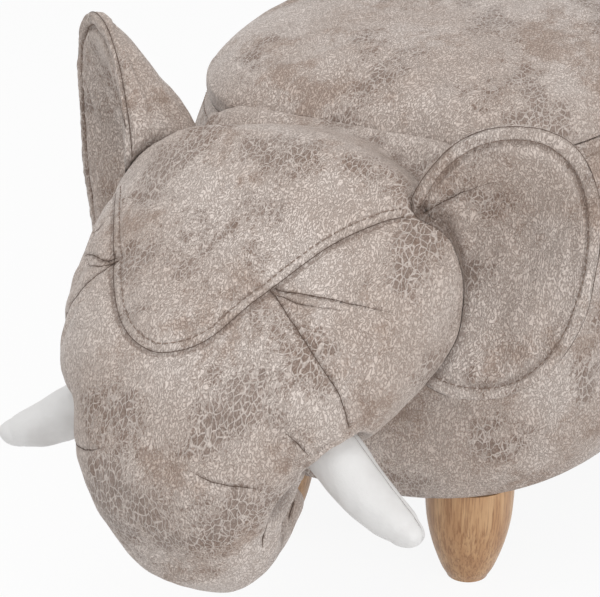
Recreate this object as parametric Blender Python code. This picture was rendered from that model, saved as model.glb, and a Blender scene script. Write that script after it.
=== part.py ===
"""Elephant storage pouf: a padded animal seat on turned legs, with a hinged lid over a storage box.

The head faces -Y, the animal's left is +X, and the feet stand on Z = 0.
"""

import math

import bmesh
import bpy
from mathutils import Matrix, Vector

# Driving dimensions, in metres
LEG_HEIGHT = 0.078
LEG_TOP_RADIUS = 0.0315
LEG_FOOT_RADIUS = 0.0150
BODY_LENGTH = 0.460
BODY_WIDTH = 0.346
BODY_HEIGHT = 0.249
LID_HEIGHT = 0.046
EDGE_DRAW_IN = 0.030
HEAD_WIDTH = 0.252
HEAD_LENGTH = 0.224
HEAD_DEPTH = 0.215
TRUNK_DROP = 0.138
TRUNK_WIDTH = 0.186
TRUNK_DEPTH = 0.136
EAR_WIDTH = 0.125
EAR_HEIGHT = 0.184
EAR_THICKNESS = 0.034
TUSK_LENGTH = 0.123
TUSK_RADIUS = 0.0178
TUSK_SAG = 0.0105
TAIL_LENGTH = 0.130

# Sheet, board and clearance sizes
FIT_GAP = 0.0003
COVER_THICKNESS = 0.0012
DUST_THICKNESS = 0.0008
LINING_THICKNESS = 0.0015
BASE_THICKNESS = 0.015
WALL_THICKNESS = 0.012
LID_BOARD_THICKNESS = 0.009
LID_GAP = 0.0036
RETURN_WIDTH = 0.014
BORE_CLEARANCE = 0.0003

# Hardware sizes
STUD_RADIUS = 0.004
STUD_IN_LEG = 0.030
NUT_BARREL_RADIUS = 0.0055
NUT_FLANGE_RADIUS = 0.010
NUT_FLANGE_THICKNESS = 0.0015
LEAF_WIDTH = 0.040
LEAF_THICKNESS = 0.001
KNUCKLE_RADIUS = 0.0032
PIN_RADIUS = 0.0015
PIN_CLEARANCE = 0.00008
SCREW_RADIUS = 0.0015
SCREW_HEAD_RADIUS = 0.0028
SCREW_HEAD_HEIGHT = 0.0006
SCREW_LENGTH = 0.007

# Mesh fineness
PLAN_POWER = 2.6
PLAN_STEPS = 5
LID_STEPS = 38
LID_FRONT_STEPS = 6
FORM_STEPS = 28
ROUND_STEPS = 20

# Levels, from the floor up
DUST_BOTTOM = LEG_HEIGHT + FIT_GAP
COVER_BOTTOM = DUST_BOTTOM + DUST_THICKNESS + FIT_GAP
BASE_BOTTOM = COVER_BOTTOM + COVER_THICKNESS + FIT_GAP
BASE_TOP = BASE_BOTTOM + BASE_THICKNESS
RIM = COVER_BOTTOM + BODY_HEIGHT
LID_BOTTOM = RIM + LID_GAP
LID_TOP = LID_BOTTOM + LID_HEIGHT
HINGE_LEVEL = RIM + LID_GAP / 2

# Plan sizes that follow from the body
HALF_WIDTH = BODY_WIDTH / 2
HALF_LENGTH = BODY_LENGTH / 2
BOX_HALF_X = 0.70 * (HALF_WIDTH - EDGE_DRAW_IN)
BOX_HALF_Y = 0.71 * (HALF_LENGTH - EDGE_DRAW_IN)
LEG_X = 0.55 * (HALF_WIDTH - EDGE_DRAW_IN)
LEG_Y = 0.745 * (HALF_LENGTH - EDGE_DRAW_IN)

# Side shape of the body: share of the height, share of the draw-in
BODY_PROFILE = ((0.00, 1.00), (0.03, 0.66), (0.10, 0.34), (0.22, 0.12),
                (0.48, 0.00), (0.72, 0.07), (0.88, 0.27), (1.00, 0.56))
RIM_DRAW_IN = BODY_PROFILE[-1][1] * EDGE_DRAW_IN

# Crown of the lid: share of the height, then shares of the half width by which it is drawn in and slopes to the front
LID_PROFILE = ((0.00, 0.000, 0.00), (0.26, 0.020, 0.00), (0.50, 0.110, 0.06), (0.73, 0.280, 0.18),
               (0.91, 0.530, 0.42), (1.00, 0.820, 0.70))
LID_HALF_X = HALF_WIDTH - RIM_DRAW_IN
LID_HALF_Y = HALF_LENGTH - RIM_DRAW_IN
FRONT_SHARE = 0.92
LID_FRONT = FRONT_SHARE * LID_HALF_Y
HINGE_Y = LID_HALF_Y + KNUCKLE_RADIUS + 0.0012

# Head: share of the length, then top and bottom as shares of the depth, share of the width, taper of the crown
# The tapers are how much narrower the head is on top, towards the neck, and underneath, at the jaw
HEAD_STATIONS = ((0.00, 0.865, 0.150, 0.66, 0.45), (0.17, 0.905, 0.130, 0.82, 0.28), (0.34, 0.955, 0.110, 1.00, 0.03),
                 (0.51, 0.850, 0.090, 0.98, 0.00), (0.68, 0.734, 0.080, 0.91, 0.00), (0.84, 0.628, 0.090, 0.79, 0.00),
                 (0.94, 0.544, 0.150, 0.64, 0.00), (1.00, 0.465, 0.256, 0.42, 0.00))
HEAD_POWER = 2.6
HEAD_JAW_TAPER = 0.30
HEAD_BACK = -(LID_FRONT + LID_GAP)
HEAD_TOP = LID_BOTTOM + 0.83 * LID_HEIGHT
HEAD_BOTTOM = HEAD_TOP - HEAD_DEPTH

# Trunk: drop and reach as shares of the drop, lean from straight down, width share, depth share
TRUNK_STATIONS = ((-0.16, -0.04, 0, 0.80, 0.72), (0.00, 0.00, 0, 0.97, 0.97), (0.24, 0.12, 0, 0.91, 1.00),
                  (0.44, 0.23, 0, 0.79, 0.95), (0.64, 0.265, 0, 0.67, 0.85), (0.85, 0.185, 27, 0.53, 0.71),
                  (0.98, 0.045, 60, 0.45, 0.58), (1.00, -0.17, 95, 0.39, 0.46), (0.95, -0.38, 112, 0.35, 0.37))
TRUNK_POWER = 2.2
TRUNK_ROOT_Y = HEAD_BACK - 0.72 * HEAD_LENGTH
TRUNK_ROOT_Z = HEAD_BOTTOM + 0.48 * HEAD_DEPTH

# Ear layers: share of the outline, then distance from the mid sheet as a share of the thickness
# The wedge is how much thicker the back is where the ear meets the head, low down
# Ears: side, angle swept back, then how far each soft ear sits out, up and back from the common place
EAR_LAYERS = ((0.35, -0.50), (0.75, -0.40), (0.95, -0.20), (1.00, 0.02), (0.94, 0.18), (0.75, 0.20), (0.35, 0.16))
EAR_CUP = 0.25
EAR_WEDGE = 2.2
EAR_POWER = 2.3
EAR_LEAN = math.radians(6)
EARS = {"left": (1, math.radians(26), -0.0026, 0.0, 0.0), "right": (-1, math.radians(42), 0.0050, 0.015, 0.020)}
EAR_X = 0.555 * HEAD_WIDTH
EAR_Y = HEAD_BACK - 0.255 * HEAD_LENGTH
EAR_Z = HEAD_BOTTOM + 0.65 * HEAD_DEPTH

# Tusk: share of the length from the root, share of the radius, on a middle line that sags between its ends
TUSK_STATIONS = ((0.00, 1.00), (0.30, 1.00), (0.55, 0.92), (0.78, 0.70), (0.94, 0.46), (1.00, 0.22))
TUSK_DIRECTION = Vector((0.80, -0.19, -0.565)).normalized()
TUSK_ROOT = Vector((0.20 * HEAD_WIDTH, TRUNK_ROOT_Y - 0.006 * HEAD_LENGTH, HEAD_BOTTOM + 0.355 * HEAD_DEPTH))

# Tail: share of the length from the root, half width share, half thickness share
TAIL_STATIONS = ((0.00, 0.60, 0.55), (0.35, 0.55, 0.50), (0.60, 0.62, 0.62), (0.80, 1.00, 1.00), (1.00, 0.40, 0.45))
TAIL_HALF_WIDTH = 0.015
TAIL_HALF_THICKNESS = 0.008
TAIL_LEAN = math.radians(7)

MATERIALS = {
    "leather_cloth": ((0.42, 0.36, 0.32), 0.55, 0.0),
    "white_leather_cloth": ((0.80, 0.79, 0.77), 0.45, 0.0),
    "oak": ((0.43, 0.26, 0.14), 0.45, 0.0),
    "plywood": ((0.62, 0.47, 0.30), 0.60, 0.0),
    "foam": ((0.83, 0.79, 0.62), 0.90, 0.0),
    "lining_cloth": ((0.10, 0.09, 0.09), 0.85, 0.0),
    "steel": ((0.60, 0.60, 0.61), 0.35, 1.0),
}


def clear_scene():
    """Removes every object left in the file."""
    for item in list(bpy.data.objects):
        bpy.data.objects.remove(item, do_unlink=True)


def make_collection(name):
    """Returns a new collection linked to the scene."""
    collection = bpy.data.collections.new(name)
    bpy.context.scene.collection.children.link(collection)
    return collection


def make_empty(name, location, parent=None):
    """Returns an empty that carries a group of pieces."""
    empty = bpy.data.objects.new(name, None)
    PARTS.objects.link(empty)
    empty.location = location
    empty.parent = parent
    return empty


def make_material(name, colour, roughness, metallic):
    """Returns a plain Principled material."""
    material = bpy.data.materials.new(name)
    material.use_nodes = True
    shader = material.node_tree.nodes["Principled BSDF"]
    shader.inputs["Base Color"].default_value = (*colour, 1.0)
    shader.inputs["Roughness"].default_value = roughness
    shader.inputs["Metallic"].default_value = metallic
    return material


def add_mesh(name, bm, material=None, parent=None):
    """Turns a bmesh into an object, as a part when it has a material and as a cutter when it has none."""
    bmesh.ops.recalc_face_normals(bm, faces=bm.faces)
    mesh = bpy.data.meshes.new(name)
    bm.to_mesh(mesh)
    bm.free()
    item = bpy.data.objects.new(name, mesh)
    if material is None:
        CUTTERS.objects.link(item)
        item.hide_render = True
        item.display_type = "WIRE"
    else:
        PARTS.objects.link(item)
        mesh.materials.append(FINISH[material])
        carry(item, parent)
    return item


def carry(item, parent):
    """Parents an item so that it keeps its place."""
    if parent is not None:
        item.parent = parent
        item.location = item.location - parent.location


def cut(item, cutter, operation="DIFFERENCE"):
    """Applies one exact boolean to an item."""
    modifier = item.modifiers.new("cut", "BOOLEAN")
    modifier.operation = operation
    modifier.solver = "EXACT"
    modifier.object = cutter
    bpy.context.view_layer.update()
    evaluated = item.evaluated_get(bpy.context.evaluated_depsgraph_get())
    result = bpy.data.meshes.new_from_object(evaluated)
    item.modifiers.remove(modifier)
    item.data = result


def loft(rings, capped=True):
    """Returns a closed skin through rings of equal count, with flat ends or joined end to end."""
    bm = bmesh.new()
    loops = [[bm.verts.new(point) for point in ring] for ring in rings]
    pairs = list(zip(loops, loops[1:]))
    if not capped:
        pairs.append((loops[-1], loops[0]))
    count = len(loops[0])
    for first, second in pairs:
        for index in range(count):
            after = (index + 1) % count
            corners = (first[index], first[after], second[after], second[index])
            start = 0 if first[index].co.z <= second[index].co.z else 1
            turn = corners[start:] + corners[:start]
            bm.faces.new((turn[0], turn[1], turn[2]))
            bm.faces.new((turn[0], turn[2], turn[3]))
    if capped:
        bm.faces.new(loops[0])
        bm.faces.new(loops[-1])
    return bm


def box(low, high):
    """Returns a box between two corners."""
    low, high = Vector(low), Vector(high)
    bm = bmesh.new()
    bmesh.ops.create_cube(bm, size=1.0)
    bmesh.ops.scale(bm, vec=high - low, verts=bm.verts)
    bmesh.ops.translate(bm, vec=(low + high) / 2, verts=bm.verts)
    return bm


def cylinder(radius, low, high, axis="Z", steps=ROUND_STEPS):
    """Returns a cylinder between two end points along X or Z."""
    low, high = Vector(low), Vector(high)
    bm = bmesh.new()
    bmesh.ops.create_cone(bm, cap_ends=True, segments=steps, radius1=radius, radius2=radius,
                          depth=(high - low).length)
    if axis == "X":
        bmesh.ops.rotate(bm, matrix=Matrix.Rotation(math.pi / 2, 3, "Y"), verts=bm.verts)
    bmesh.ops.translate(bm, vec=(low + high) / 2, verts=bm.verts)
    return bm


def signed_power(value, power):
    """Returns a power that keeps the sign of its value."""
    return math.copysign(abs(value) ** power, value)


def plan_directions():
    """Returns the directions of a plan ring, one of them at each corner of the box."""
    corner = math.atan2(BOX_HALF_Y + FIT_GAP, BOX_HALF_X + FIT_GAP)
    quarter = [corner * step / PLAN_STEPS for step in range(PLAN_STEPS)]
    quarter += [corner + (math.pi / 2 - corner) * step / PLAN_STEPS for step in range(PLAN_STEPS)]
    half = quarter + [math.pi - angle for angle in [math.pi / 2] + quarter[:0:-1]]
    return half + [angle + math.pi for angle in half]


def plan_ring(half_x, half_y, level):
    """Returns a rounded plan ring."""
    points = []
    for angle in plan_directions():
        across, along = math.cos(angle), math.sin(angle)
        reach = (abs(across / half_x) ** PLAN_POWER + abs(along / half_y) ** PLAN_POWER) ** (-1 / PLAN_POWER)
        points.append(Vector((reach * across, reach * along, level)))
    return points


def lid_ring(half_x, half_y, level, front):
    """Returns a plan ring that is rounded at the rear and cut straight at the front."""
    corner = math.asin(FRONT_SHARE ** (PLAN_POWER / 2))
    points = []
    for step in range(LID_STEPS + 1):
        angle = (math.pi + 2 * corner) * step / LID_STEPS - corner
        half = half_y if math.sin(angle) > 0 else front / FRONT_SHARE
        points.append(Vector((half_x * signed_power(math.cos(angle), 2 / PLAN_POWER),
                              half * signed_power(math.sin(angle), 2 / PLAN_POWER), level)))
    ends = points[-1], points[0]
    points += [ends[0].lerp(ends[1], step / LID_FRONT_STEPS) for step in range(1, LID_FRONT_STEPS)]
    return points


def box_ring(half_x, half_y, level):
    """Returns a rectangular ring with the same directions as a plan ring."""
    points = []
    for angle in plan_directions():
        across, along = math.cos(angle), math.sin(angle)
        reach = 1 / max(abs(across) / half_x, abs(along) / half_y)
        points.append(Vector((reach * across, reach * along, level)))
    return points


def draw_in_at(level):
    """Returns how far the body's side is drawn in at a level."""
    share = (level - COVER_BOTTOM) / BODY_HEIGHT
    for (low, inset_low), (high, inset_high) in zip(BODY_PROFILE, BODY_PROFILE[1:]):
        if share <= high:
            along = (share - low) / (high - low)
            return EDGE_DRAW_IN * (inset_low + along * (inset_high - inset_low))
    return RIM_DRAW_IN


def body_rings(bottom, top, inset):
    """Returns plan rings that follow the body's side between two levels, set in by a thickness."""
    levels = [COVER_BOTTOM + share * BODY_HEIGHT for share, _ in BODY_PROFILE]
    levels = [bottom] + [level for level in levels if bottom + 0.0005 < level < top - 0.0005] + [top]
    rings = []
    for level in levels:
        drawn = draw_in_at(level) + inset
        rings.append(plan_ring(HALF_WIDTH - drawn, HALF_LENGTH - drawn, level))
    return rings


def lid_rings(inset):
    """Returns plan rings of the lid's crown, straight at the front, set in by a thickness."""
    rings = []
    for height, drawn, slope in LID_PROFILE:
        half_x = LID_HALF_X * (1 - drawn) - inset
        half_y = LID_HALF_Y - LID_HALF_X * drawn - inset
        level = LID_BOTTOM + max(height * LID_HEIGHT - inset, inset)
        rings.append(lid_ring(half_x, half_y, level, LID_FRONT - LID_HALF_X * slope - inset))
    return rings


def oval(half_u, half_v, power, steps=FORM_STEPS):
    """Returns a flat oval as pairs, square-cornered for a high power."""
    pairs = []
    for step in range(steps):
        angle = 2 * math.pi * (step + 0.5) / steps
        pairs.append((half_u * signed_power(math.cos(angle), 2 / power),
                      half_v * signed_power(math.sin(angle), 2 / power)))
    return pairs


def head_form(grow=0.0):
    """Returns the stuffed head, grown all round by a clearance."""
    rings = []
    for share, top, bottom, width, crown_taper in HEAD_STATIONS:
        y = HEAD_BACK - share * HEAD_LENGTH + grow * (1 - 2 * share)
        high, low = HEAD_BOTTOM + top * HEAD_DEPTH + grow, HEAD_BOTTOM + bottom * HEAD_DEPTH - grow
        half = (high - low) / 2
        pairs = oval(width * HEAD_WIDTH / 2 + grow, half, HEAD_POWER)
        taper = {True: crown_taper, False: HEAD_JAW_TAPER}
        rings.append([Vector((u * (1 - taper[v > 0] * (v / half) ** 2), y, low + half + v)) for u, v in pairs])
    return loft(rings)


def trunk_form(grow=0.0):
    """Returns the stuffed trunk, which hangs from the head and curls back under it."""
    rings = []
    last = len(TRUNK_STATIONS) - 1
    for index, (drop, reach, lean, width, depth) in enumerate(TRUNK_STATIONS):
        lean = math.radians(lean)
        down = Vector((0, math.sin(lean), -math.cos(lean)))
        across = Vector((0, math.cos(lean), math.sin(lean)))
        centre = Vector((0, TRUNK_ROOT_Y - reach * TRUNK_DROP, TRUNK_ROOT_Z - drop * TRUNK_DROP))
        if index in (0, last):
            centre += down * (grow if index == last else -grow)
        pairs = oval(width * TRUNK_WIDTH / 2 + grow, depth * TRUNK_DEPTH / 2 + grow, TRUNK_POWER)
        rings.append([centre + Vector((u, 0, 0)) + across * v for u, v in pairs])
    return loft(rings)


def ear_form(side, sweep, spread, rise, setback):
    """Returns one padded ear, cupped towards the front and swept back by its own angle."""
    outward = Vector((side * math.cos(sweep), math.sin(sweep), 0))
    forward = Vector((side * math.sin(sweep), -math.cos(sweep), 0))
    upward = Vector((0, 0, 1)) * math.cos(EAR_LEAN) + outward * math.sin(EAR_LEAN)
    centre = Vector((side * (EAR_X + spread), EAR_Y + setback, EAR_Z + rise))
    rings = []
    for share, offset in EAR_LAYERS:
        ring = []
        for u, v in oval(share * EAR_WIDTH / 2, share * EAR_HEIGHT / 2, EAR_POWER):
            wedge = EAR_WEDGE * (0.5 - u / EAR_WIDTH) * min(1, 1 - 2 * v / EAR_HEIGHT) if offset < 0 else 0
            depth = EAR_THICKNESS * (offset * (1 + wedge) + EAR_CUP * share * share)
            ring.append(centre + outward * u + upward * v + forward * depth)
        rings.append(ring)
    return loft(rings)


def tusk_form(side):
    """Returns one stuffed tusk, tapered to a round tip."""
    root = Vector((side * TUSK_ROOT.x, TUSK_ROOT.y, TUSK_ROOT.z))
    along = Vector((side * TUSK_DIRECTION.x, TUSK_DIRECTION.y, TUSK_DIRECTION.z))
    across = along.cross(Vector((0, 0, 1))).normalized()
    over = along.cross(across)
    rings = []
    for share, size in TUSK_STATIONS:
        pairs = oval(size * TUSK_RADIUS, size * TUSK_RADIUS, 2.0, 14)
        centre = root + along * share * TUSK_LENGTH - Vector((0, 0, 4 * share * (1 - share) * TUSK_SAG))
        rings.append([centre + across * u + over * v for u, v in pairs])
    return loft(rings)


def tail_form():
    """Returns the tail, which hangs against the rear of the body and ends in a tuft."""
    level = COVER_BOTTOM + 0.82 * BODY_HEIGHT
    root = Vector((0, HALF_LENGTH - draw_in_at(level), level))
    along = Vector((0, math.sin(TAIL_LEAN), -math.cos(TAIL_LEAN)))
    rings = []
    for share, width, thickness in TAIL_STATIONS:
        pairs = oval(width * TAIL_HALF_WIDTH, thickness * TAIL_HALF_THICKNESS, 2.0, 12)
        centre = root + along * share * TAIL_LENGTH
        rings.append([centre + Vector((u, v, 0)) for u, v in pairs])
    return loft(rings)


def turned(profile, steps=ROUND_STEPS):
    """Returns a skin turned about Z from a profile of radius and level."""
    rings = []
    for radius, level in profile:
        rings.append([Vector((radius * x, radius * y, level)) for x, y in oval(1.0, 1.0, 2.0, steps)])
    return rings


def build_leg(name, x, y):
    """Adds one turned leg with its stud and the nut in the base board."""
    swell = LEG_TOP_RADIUS - LEG_FOOT_RADIUS
    bore = STUD_RADIUS + BORE_CLEARANCE
    profile = [(LEG_FOOT_RADIUS - 0.0012, 0.0), (LEG_FOOT_RADIUS, 0.0015)]
    profile += [(LEG_FOOT_RADIUS + swell * share, LEG_HEIGHT * level)
                for share, level in ((0.28, 0.13), (0.66, 0.36), (0.90, 0.60), (0.99, 0.84), (1.0, 1.0))]
    profile += [(bore, LEG_HEIGHT), (bore, LEG_HEIGHT - STUD_IN_LEG - FIT_GAP)]
    place = Vector((x, y, 0))
    leg = add_mesh("leg_" + name, loft(turned(profile)), "oak", ROOT)
    leg.location = place

    stud_top = BASE_TOP - NUT_FLANGE_THICKNESS
    stud = add_mesh("leg_stud_" + name,
                    cylinder(STUD_RADIUS, (0, 0, LEG_HEIGHT - STUD_IN_LEG), (0, 0, stud_top)), "steel", ROOT)
    stud.location = place

    sunk = BASE_TOP - FIT_GAP
    rings = turned([(bore, sunk), (NUT_FLANGE_RADIUS, sunk), (NUT_FLANGE_RADIUS, sunk - NUT_FLANGE_THICKNESS),
                    (NUT_BARREL_RADIUS, sunk - NUT_FLANGE_THICKNESS),
                    (NUT_BARREL_RADIUS, BASE_BOTTOM + 0.2 * BASE_THICKNESS),
                    (bore, BASE_BOTTOM + 0.2 * BASE_THICKNESS)])
    nut = add_mesh("leg_nut_" + name, loft(rings, capped=False), "steel", ROOT)
    nut.location = place


def build_base():
    """Adds the base board and the dust cover, with holes for the leg hardware."""
    set_in = COVER_THICKNESS + FIT_GAP
    base = add_mesh("base_board", loft(body_rings(BASE_BOTTOM, BASE_TOP, set_in)), "plywood", ROOT)
    dust_inset = EDGE_DRAW_IN + RETURN_WIDTH / 2
    dust = add_mesh("dust_cover", loft([plan_ring(HALF_WIDTH - dust_inset, HALF_LENGTH - dust_inset, level)
                                        for level in (DUST_BOTTOM, DUST_BOTTOM + DUST_THICKNESS)]),
                    "lining_cloth", ROOT)
    sunk = BASE_TOP - FIT_GAP - NUT_FLANGE_THICKNESS - FIT_GAP
    for x, y in LEG_PLACES.values():
        hole = NUT_BARREL_RADIUS + BORE_CLEARANCE
        cut(base, add_mesh("nut_hole", cylinder(hole, (x, y, 0), (x, y, RIM))))
        cut(base, add_mesh("nut_sinking",
                           cylinder(NUT_FLANGE_RADIUS + BORE_CLEARANCE, (x, y, sunk), (x, y, RIM))))
        cut(dust, add_mesh("stud_hole",
                           cylinder(STUD_RADIUS + BORE_CLEARANCE, (x, y, 0), (x, y, RIM))))


def build_box():
    """Adds the four walls and the lining of the storage box."""
    low, high = BASE_TOP + FIT_GAP, RIM
    inner_x, inner_y = BOX_HALF_X - WALL_THICKNESS, BOX_HALF_Y - WALL_THICKNESS
    side_end = inner_y - FIT_GAP
    add_mesh("front_wall", box((-BOX_HALF_X, -BOX_HALF_Y, low), (BOX_HALF_X, -inner_y, high)), "plywood", ROOT)
    rear = add_mesh("rear_wall", box((-BOX_HALF_X, inner_y, low), (BOX_HALF_X, BOX_HALF_Y, high)), "plywood", ROOT)
    add_mesh("left_wall", box((inner_x, -side_end, low), (BOX_HALF_X, side_end, high)), "plywood", ROOT)
    add_mesh("right_wall", box((-BOX_HALF_X, -side_end, low), (-inner_x, side_end, high)), "plywood", ROOT)
    for x in WALL_SCREW_X:
        hole = cylinder(SCREW_RADIUS + BORE_CLEARANCE, (x, SCREW_Y, RIM - SCREW_LENGTH - FIT_GAP),
                        (x, SCREW_Y, RIM + LID_GAP), steps=10)
        cut(rear, add_mesh("wall_screw_hole", hole))

    outer_x, outer_y = inner_x - FIT_GAP, inner_y - FIT_GAP
    tub_x, tub_y = outer_x - LINING_THICKNESS, outer_y - LINING_THICKNESS
    add_mesh("storage_lining", loft([box_ring(outer_x, outer_y, low), box_ring(outer_x, outer_y, high),
                                     box_ring(tub_x, tub_y, high),
                                     box_ring(tub_x, tub_y, low + LINING_THICKNESS)]), "lining_cloth", ROOT)


def build_padding():
    """Adds the foam round the box, mitred at the corners, and the cover over it."""
    set_in = COVER_THICKNESS + FIT_GAP
    low, high = BASE_TOP + FIT_GAP, RIM - COVER_THICKNESS - FIT_GAP
    reach = max(BODY_LENGTH, BODY_WIDTH)
    wedges = {"front": (0, -1), "rear": (0, 1), "left": (1, 0), "right": (-1, 0)}
    for name, (out_x, out_y) in wedges.items():
        near_x, near_y = BOX_HALF_X, BOX_HALF_Y
        if out_y:
            plan = [(-near_x, near_y + FIT_GAP), (near_x, near_y + FIT_GAP),
                    (near_x + reach, near_y + FIT_GAP + reach), (-near_x - reach, near_y + FIT_GAP + reach)]
            plan = [(x, y * out_y) for x, y in plan]
        else:
            plan = [(near_x + FIT_GAP, -near_y), (near_x + FIT_GAP, near_y),
                    (near_x + FIT_GAP + reach, near_y + reach), (near_x + FIT_GAP + reach, -near_y - reach)]
            plan = [(x * out_x, y) for x, y in plan]
        wedge = add_mesh(name + "_wedge", loft([[Vector((x, y, level)) for x, y in plan]
                                                for level in (0, LID_TOP)]))
        pad = add_mesh(name + "_padding", loft(body_rings(low, high, set_in)), "foam", ROOT)
        cut(pad, wedge, "INTERSECT")

    lip_x, lip_y = BOX_HALF_X + FIT_GAP, BOX_HALF_Y + FIT_GAP
    turn_in = EDGE_DRAW_IN + RETURN_WIDTH
    under = [plan_ring(HALF_WIDTH - turn_in, HALF_LENGTH - turn_in, level)
             for level in (COVER_BOTTOM, COVER_BOTTOM + COVER_THICKNESS)]
    outer = body_rings(COVER_BOTTOM, RIM, 0.0)
    inner = body_rings(COVER_BOTTOM + COVER_THICKNESS, RIM - COVER_THICKNESS, COVER_THICKNESS)
    rings = [box_ring(lip_x, lip_y, RIM)] + outer[::-1] + under + inner
    rings.append(box_ring(lip_x, lip_y, RIM - COVER_THICKNESS))
    add_mesh("body_cover", loft(rings, capped=False), "leather_cloth", ROOT)


def build_lid():
    """Adds the lid's board, foam, cover and lining, all carried by the hinge axis."""
    set_in = COVER_THICKNESS + FIT_GAP
    board_low = LID_BOTTOM + set_in
    board_high = board_low + LID_BOARD_THICKNESS
    half_x = LID_HALF_X * (1 - LID_PROFILE[1][1])
    half_y = LID_HALF_Y - LID_HALF_X * LID_PROFILE[1][1]
    front = LID_FRONT
    board = add_mesh("lid_board", loft([lid_ring(half_x - set_in, half_y - set_in, level, front - set_in)
                                        for level in (board_low, board_high)]), "plywood", LID)
    foam_base = lid_ring(half_x - set_in, half_y - set_in, board_high + FIT_GAP, front - set_in)
    foam_rings = [foam_base] + [ring for ring in lid_rings(set_in) if ring[0].z > board_high + 2 * FIT_GAP]
    add_mesh("lid_foam", loft(foam_rings), "foam", LID)

    outer = lid_rings(0.0)
    inner = lid_rings(COVER_THICKNESS)
    turned_in = [lid_ring(LID_HALF_X - RETURN_WIDTH, LID_HALF_Y - RETURN_WIDTH, level, LID_FRONT - RETURN_WIDTH)
                 for level in (LID_BOTTOM + COVER_THICKNESS, LID_BOTTOM)]
    add_mesh("lid_cover", loft(inner[::-1] + turned_in + outer), "leather_cloth", LID)

    inner_x = BOX_HALF_X - WALL_THICKNESS - 4 * FIT_GAP
    inner_y = BOX_HALF_Y - WALL_THICKNESS - 4 * FIT_GAP
    add_mesh("lid_lining", box((-inner_x, -inner_y, LID_BOTTOM), (inner_x, inner_y, board_low - FIT_GAP)),
             "lining_cloth", LID)
    for x in LID_SCREW_X:
        hole = cylinder(SCREW_RADIUS + BORE_CLEARANCE, (x, SCREW_Y, RIM),
                        (x, SCREW_Y, LID_SCREW_TIP + FIT_GAP), steps=10)
        cut(board, add_mesh("lid_screw_hole", hole))


def build_leaf(name, centre_x, plate_low, knuckles, screw_x, parent):
    """Adds one hinge leaf: a plate, its knuckles and its screw holes."""
    half = LEAF_WIDTH / 2
    inner_y = SCREW_Y - 2 * SCREW_HEAD_RADIUS
    plate_end = HINGE_Y - KNUCKLE_RADIUS - FIT_GAP
    leaf = add_mesh(name, box((centre_x - half, inner_y, plate_low),
                              (centre_x + half, plate_end, plate_low + LEAF_THICKNESS)), "steel")
    for low, high in knuckles:
        arm = box((centre_x + low, plate_end - 0.002, plate_low),
                  (centre_x + high, HINGE_Y - PIN_RADIUS - 0.0004, plate_low + LEAF_THICKNESS))
        cut(leaf, add_mesh(name + "_arm", arm), "UNION")
        barrel = cylinder(KNUCKLE_RADIUS, (centre_x + low, HINGE_Y, HINGE_LEVEL),
                          (centre_x + high, HINGE_Y, HINGE_LEVEL), "X")
        cut(leaf, add_mesh(name + "_barrel", barrel), "UNION")
    bore = cylinder(PIN_RADIUS + PIN_CLEARANCE, (centre_x - LEAF_WIDTH, HINGE_Y, HINGE_LEVEL),
                    (centre_x + LEAF_WIDTH, HINGE_Y, HINGE_LEVEL), "X")
    cut(leaf, add_mesh(name + "_bore", bore))
    for x in screw_x:
        hole = cylinder(SCREW_RADIUS + BORE_CLEARANCE, (x, SCREW_Y, RIM - 0.01), (x, SCREW_Y, LID_TOP), steps=10)
        cut(leaf, add_mesh(name + "_hole", hole))
    carry(leaf, parent)


def build_screw(name, x, seat, direction, parent):
    """Adds one pan-head screw whose head bears on a seat level."""
    head = (seat - direction * SCREW_HEAD_HEIGHT, seat)
    tip = seat + direction * (SCREW_LENGTH + LEAF_THICKNESS)
    rings = turned([(SCREW_HEAD_RADIUS, head[0]), (SCREW_HEAD_RADIUS, head[1]), (SCREW_RADIUS, head[1]),
                    (SCREW_RADIUS, tip)], 10)
    screw = add_mesh(name, loft(rings), "steel")
    screw.location = (x, SCREW_Y, 0)
    carry(screw, parent)


def build_hinges():
    """Adds two butt hinges between the rear wall and the lid board."""
    fixed_plate = RIM + FIT_GAP
    lid_plate = LID_BOTTOM - FIT_GAP - LEAF_THICKNESS
    third = LEAF_WIDTH / 6
    for name, centre_x in HINGE_PLACES.items():
        wall_x = [x for x in WALL_SCREW_X if abs(x - centre_x) < LEAF_WIDTH / 2]
        lid_x = [x for x in LID_SCREW_X if abs(x - centre_x) < LEAF_WIDTH / 2]
        build_leaf(name + "_fixed_leaf", centre_x, fixed_plate,
                   [(-3 * third, -third - FIT_GAP), (third + FIT_GAP, 3 * third)], wall_x, ROOT)
        build_leaf(name + "_lid_leaf", centre_x, lid_plate, [(-third, third)], lid_x, LID)
        pin = cylinder(PIN_RADIUS, (centre_x - LEAF_WIDTH / 2, HINGE_Y, HINGE_LEVEL),
                       (centre_x + LEAF_WIDTH / 2, HINGE_Y, HINGE_LEVEL), "X")
        add_mesh(name + "_pin", pin, "steel", ROOT)
        for order, x in zip(("a", "b"), wall_x):
            build_screw(name + "_wall_screw_" + order, x, fixed_plate + LEAF_THICKNESS + 0.0001, -1, ROOT)
        for order, x in zip(("a", "b"), lid_x):
            build_screw(name + "_lid_screw_" + order, x, lid_plate - 0.0001, 1, LID)


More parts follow.
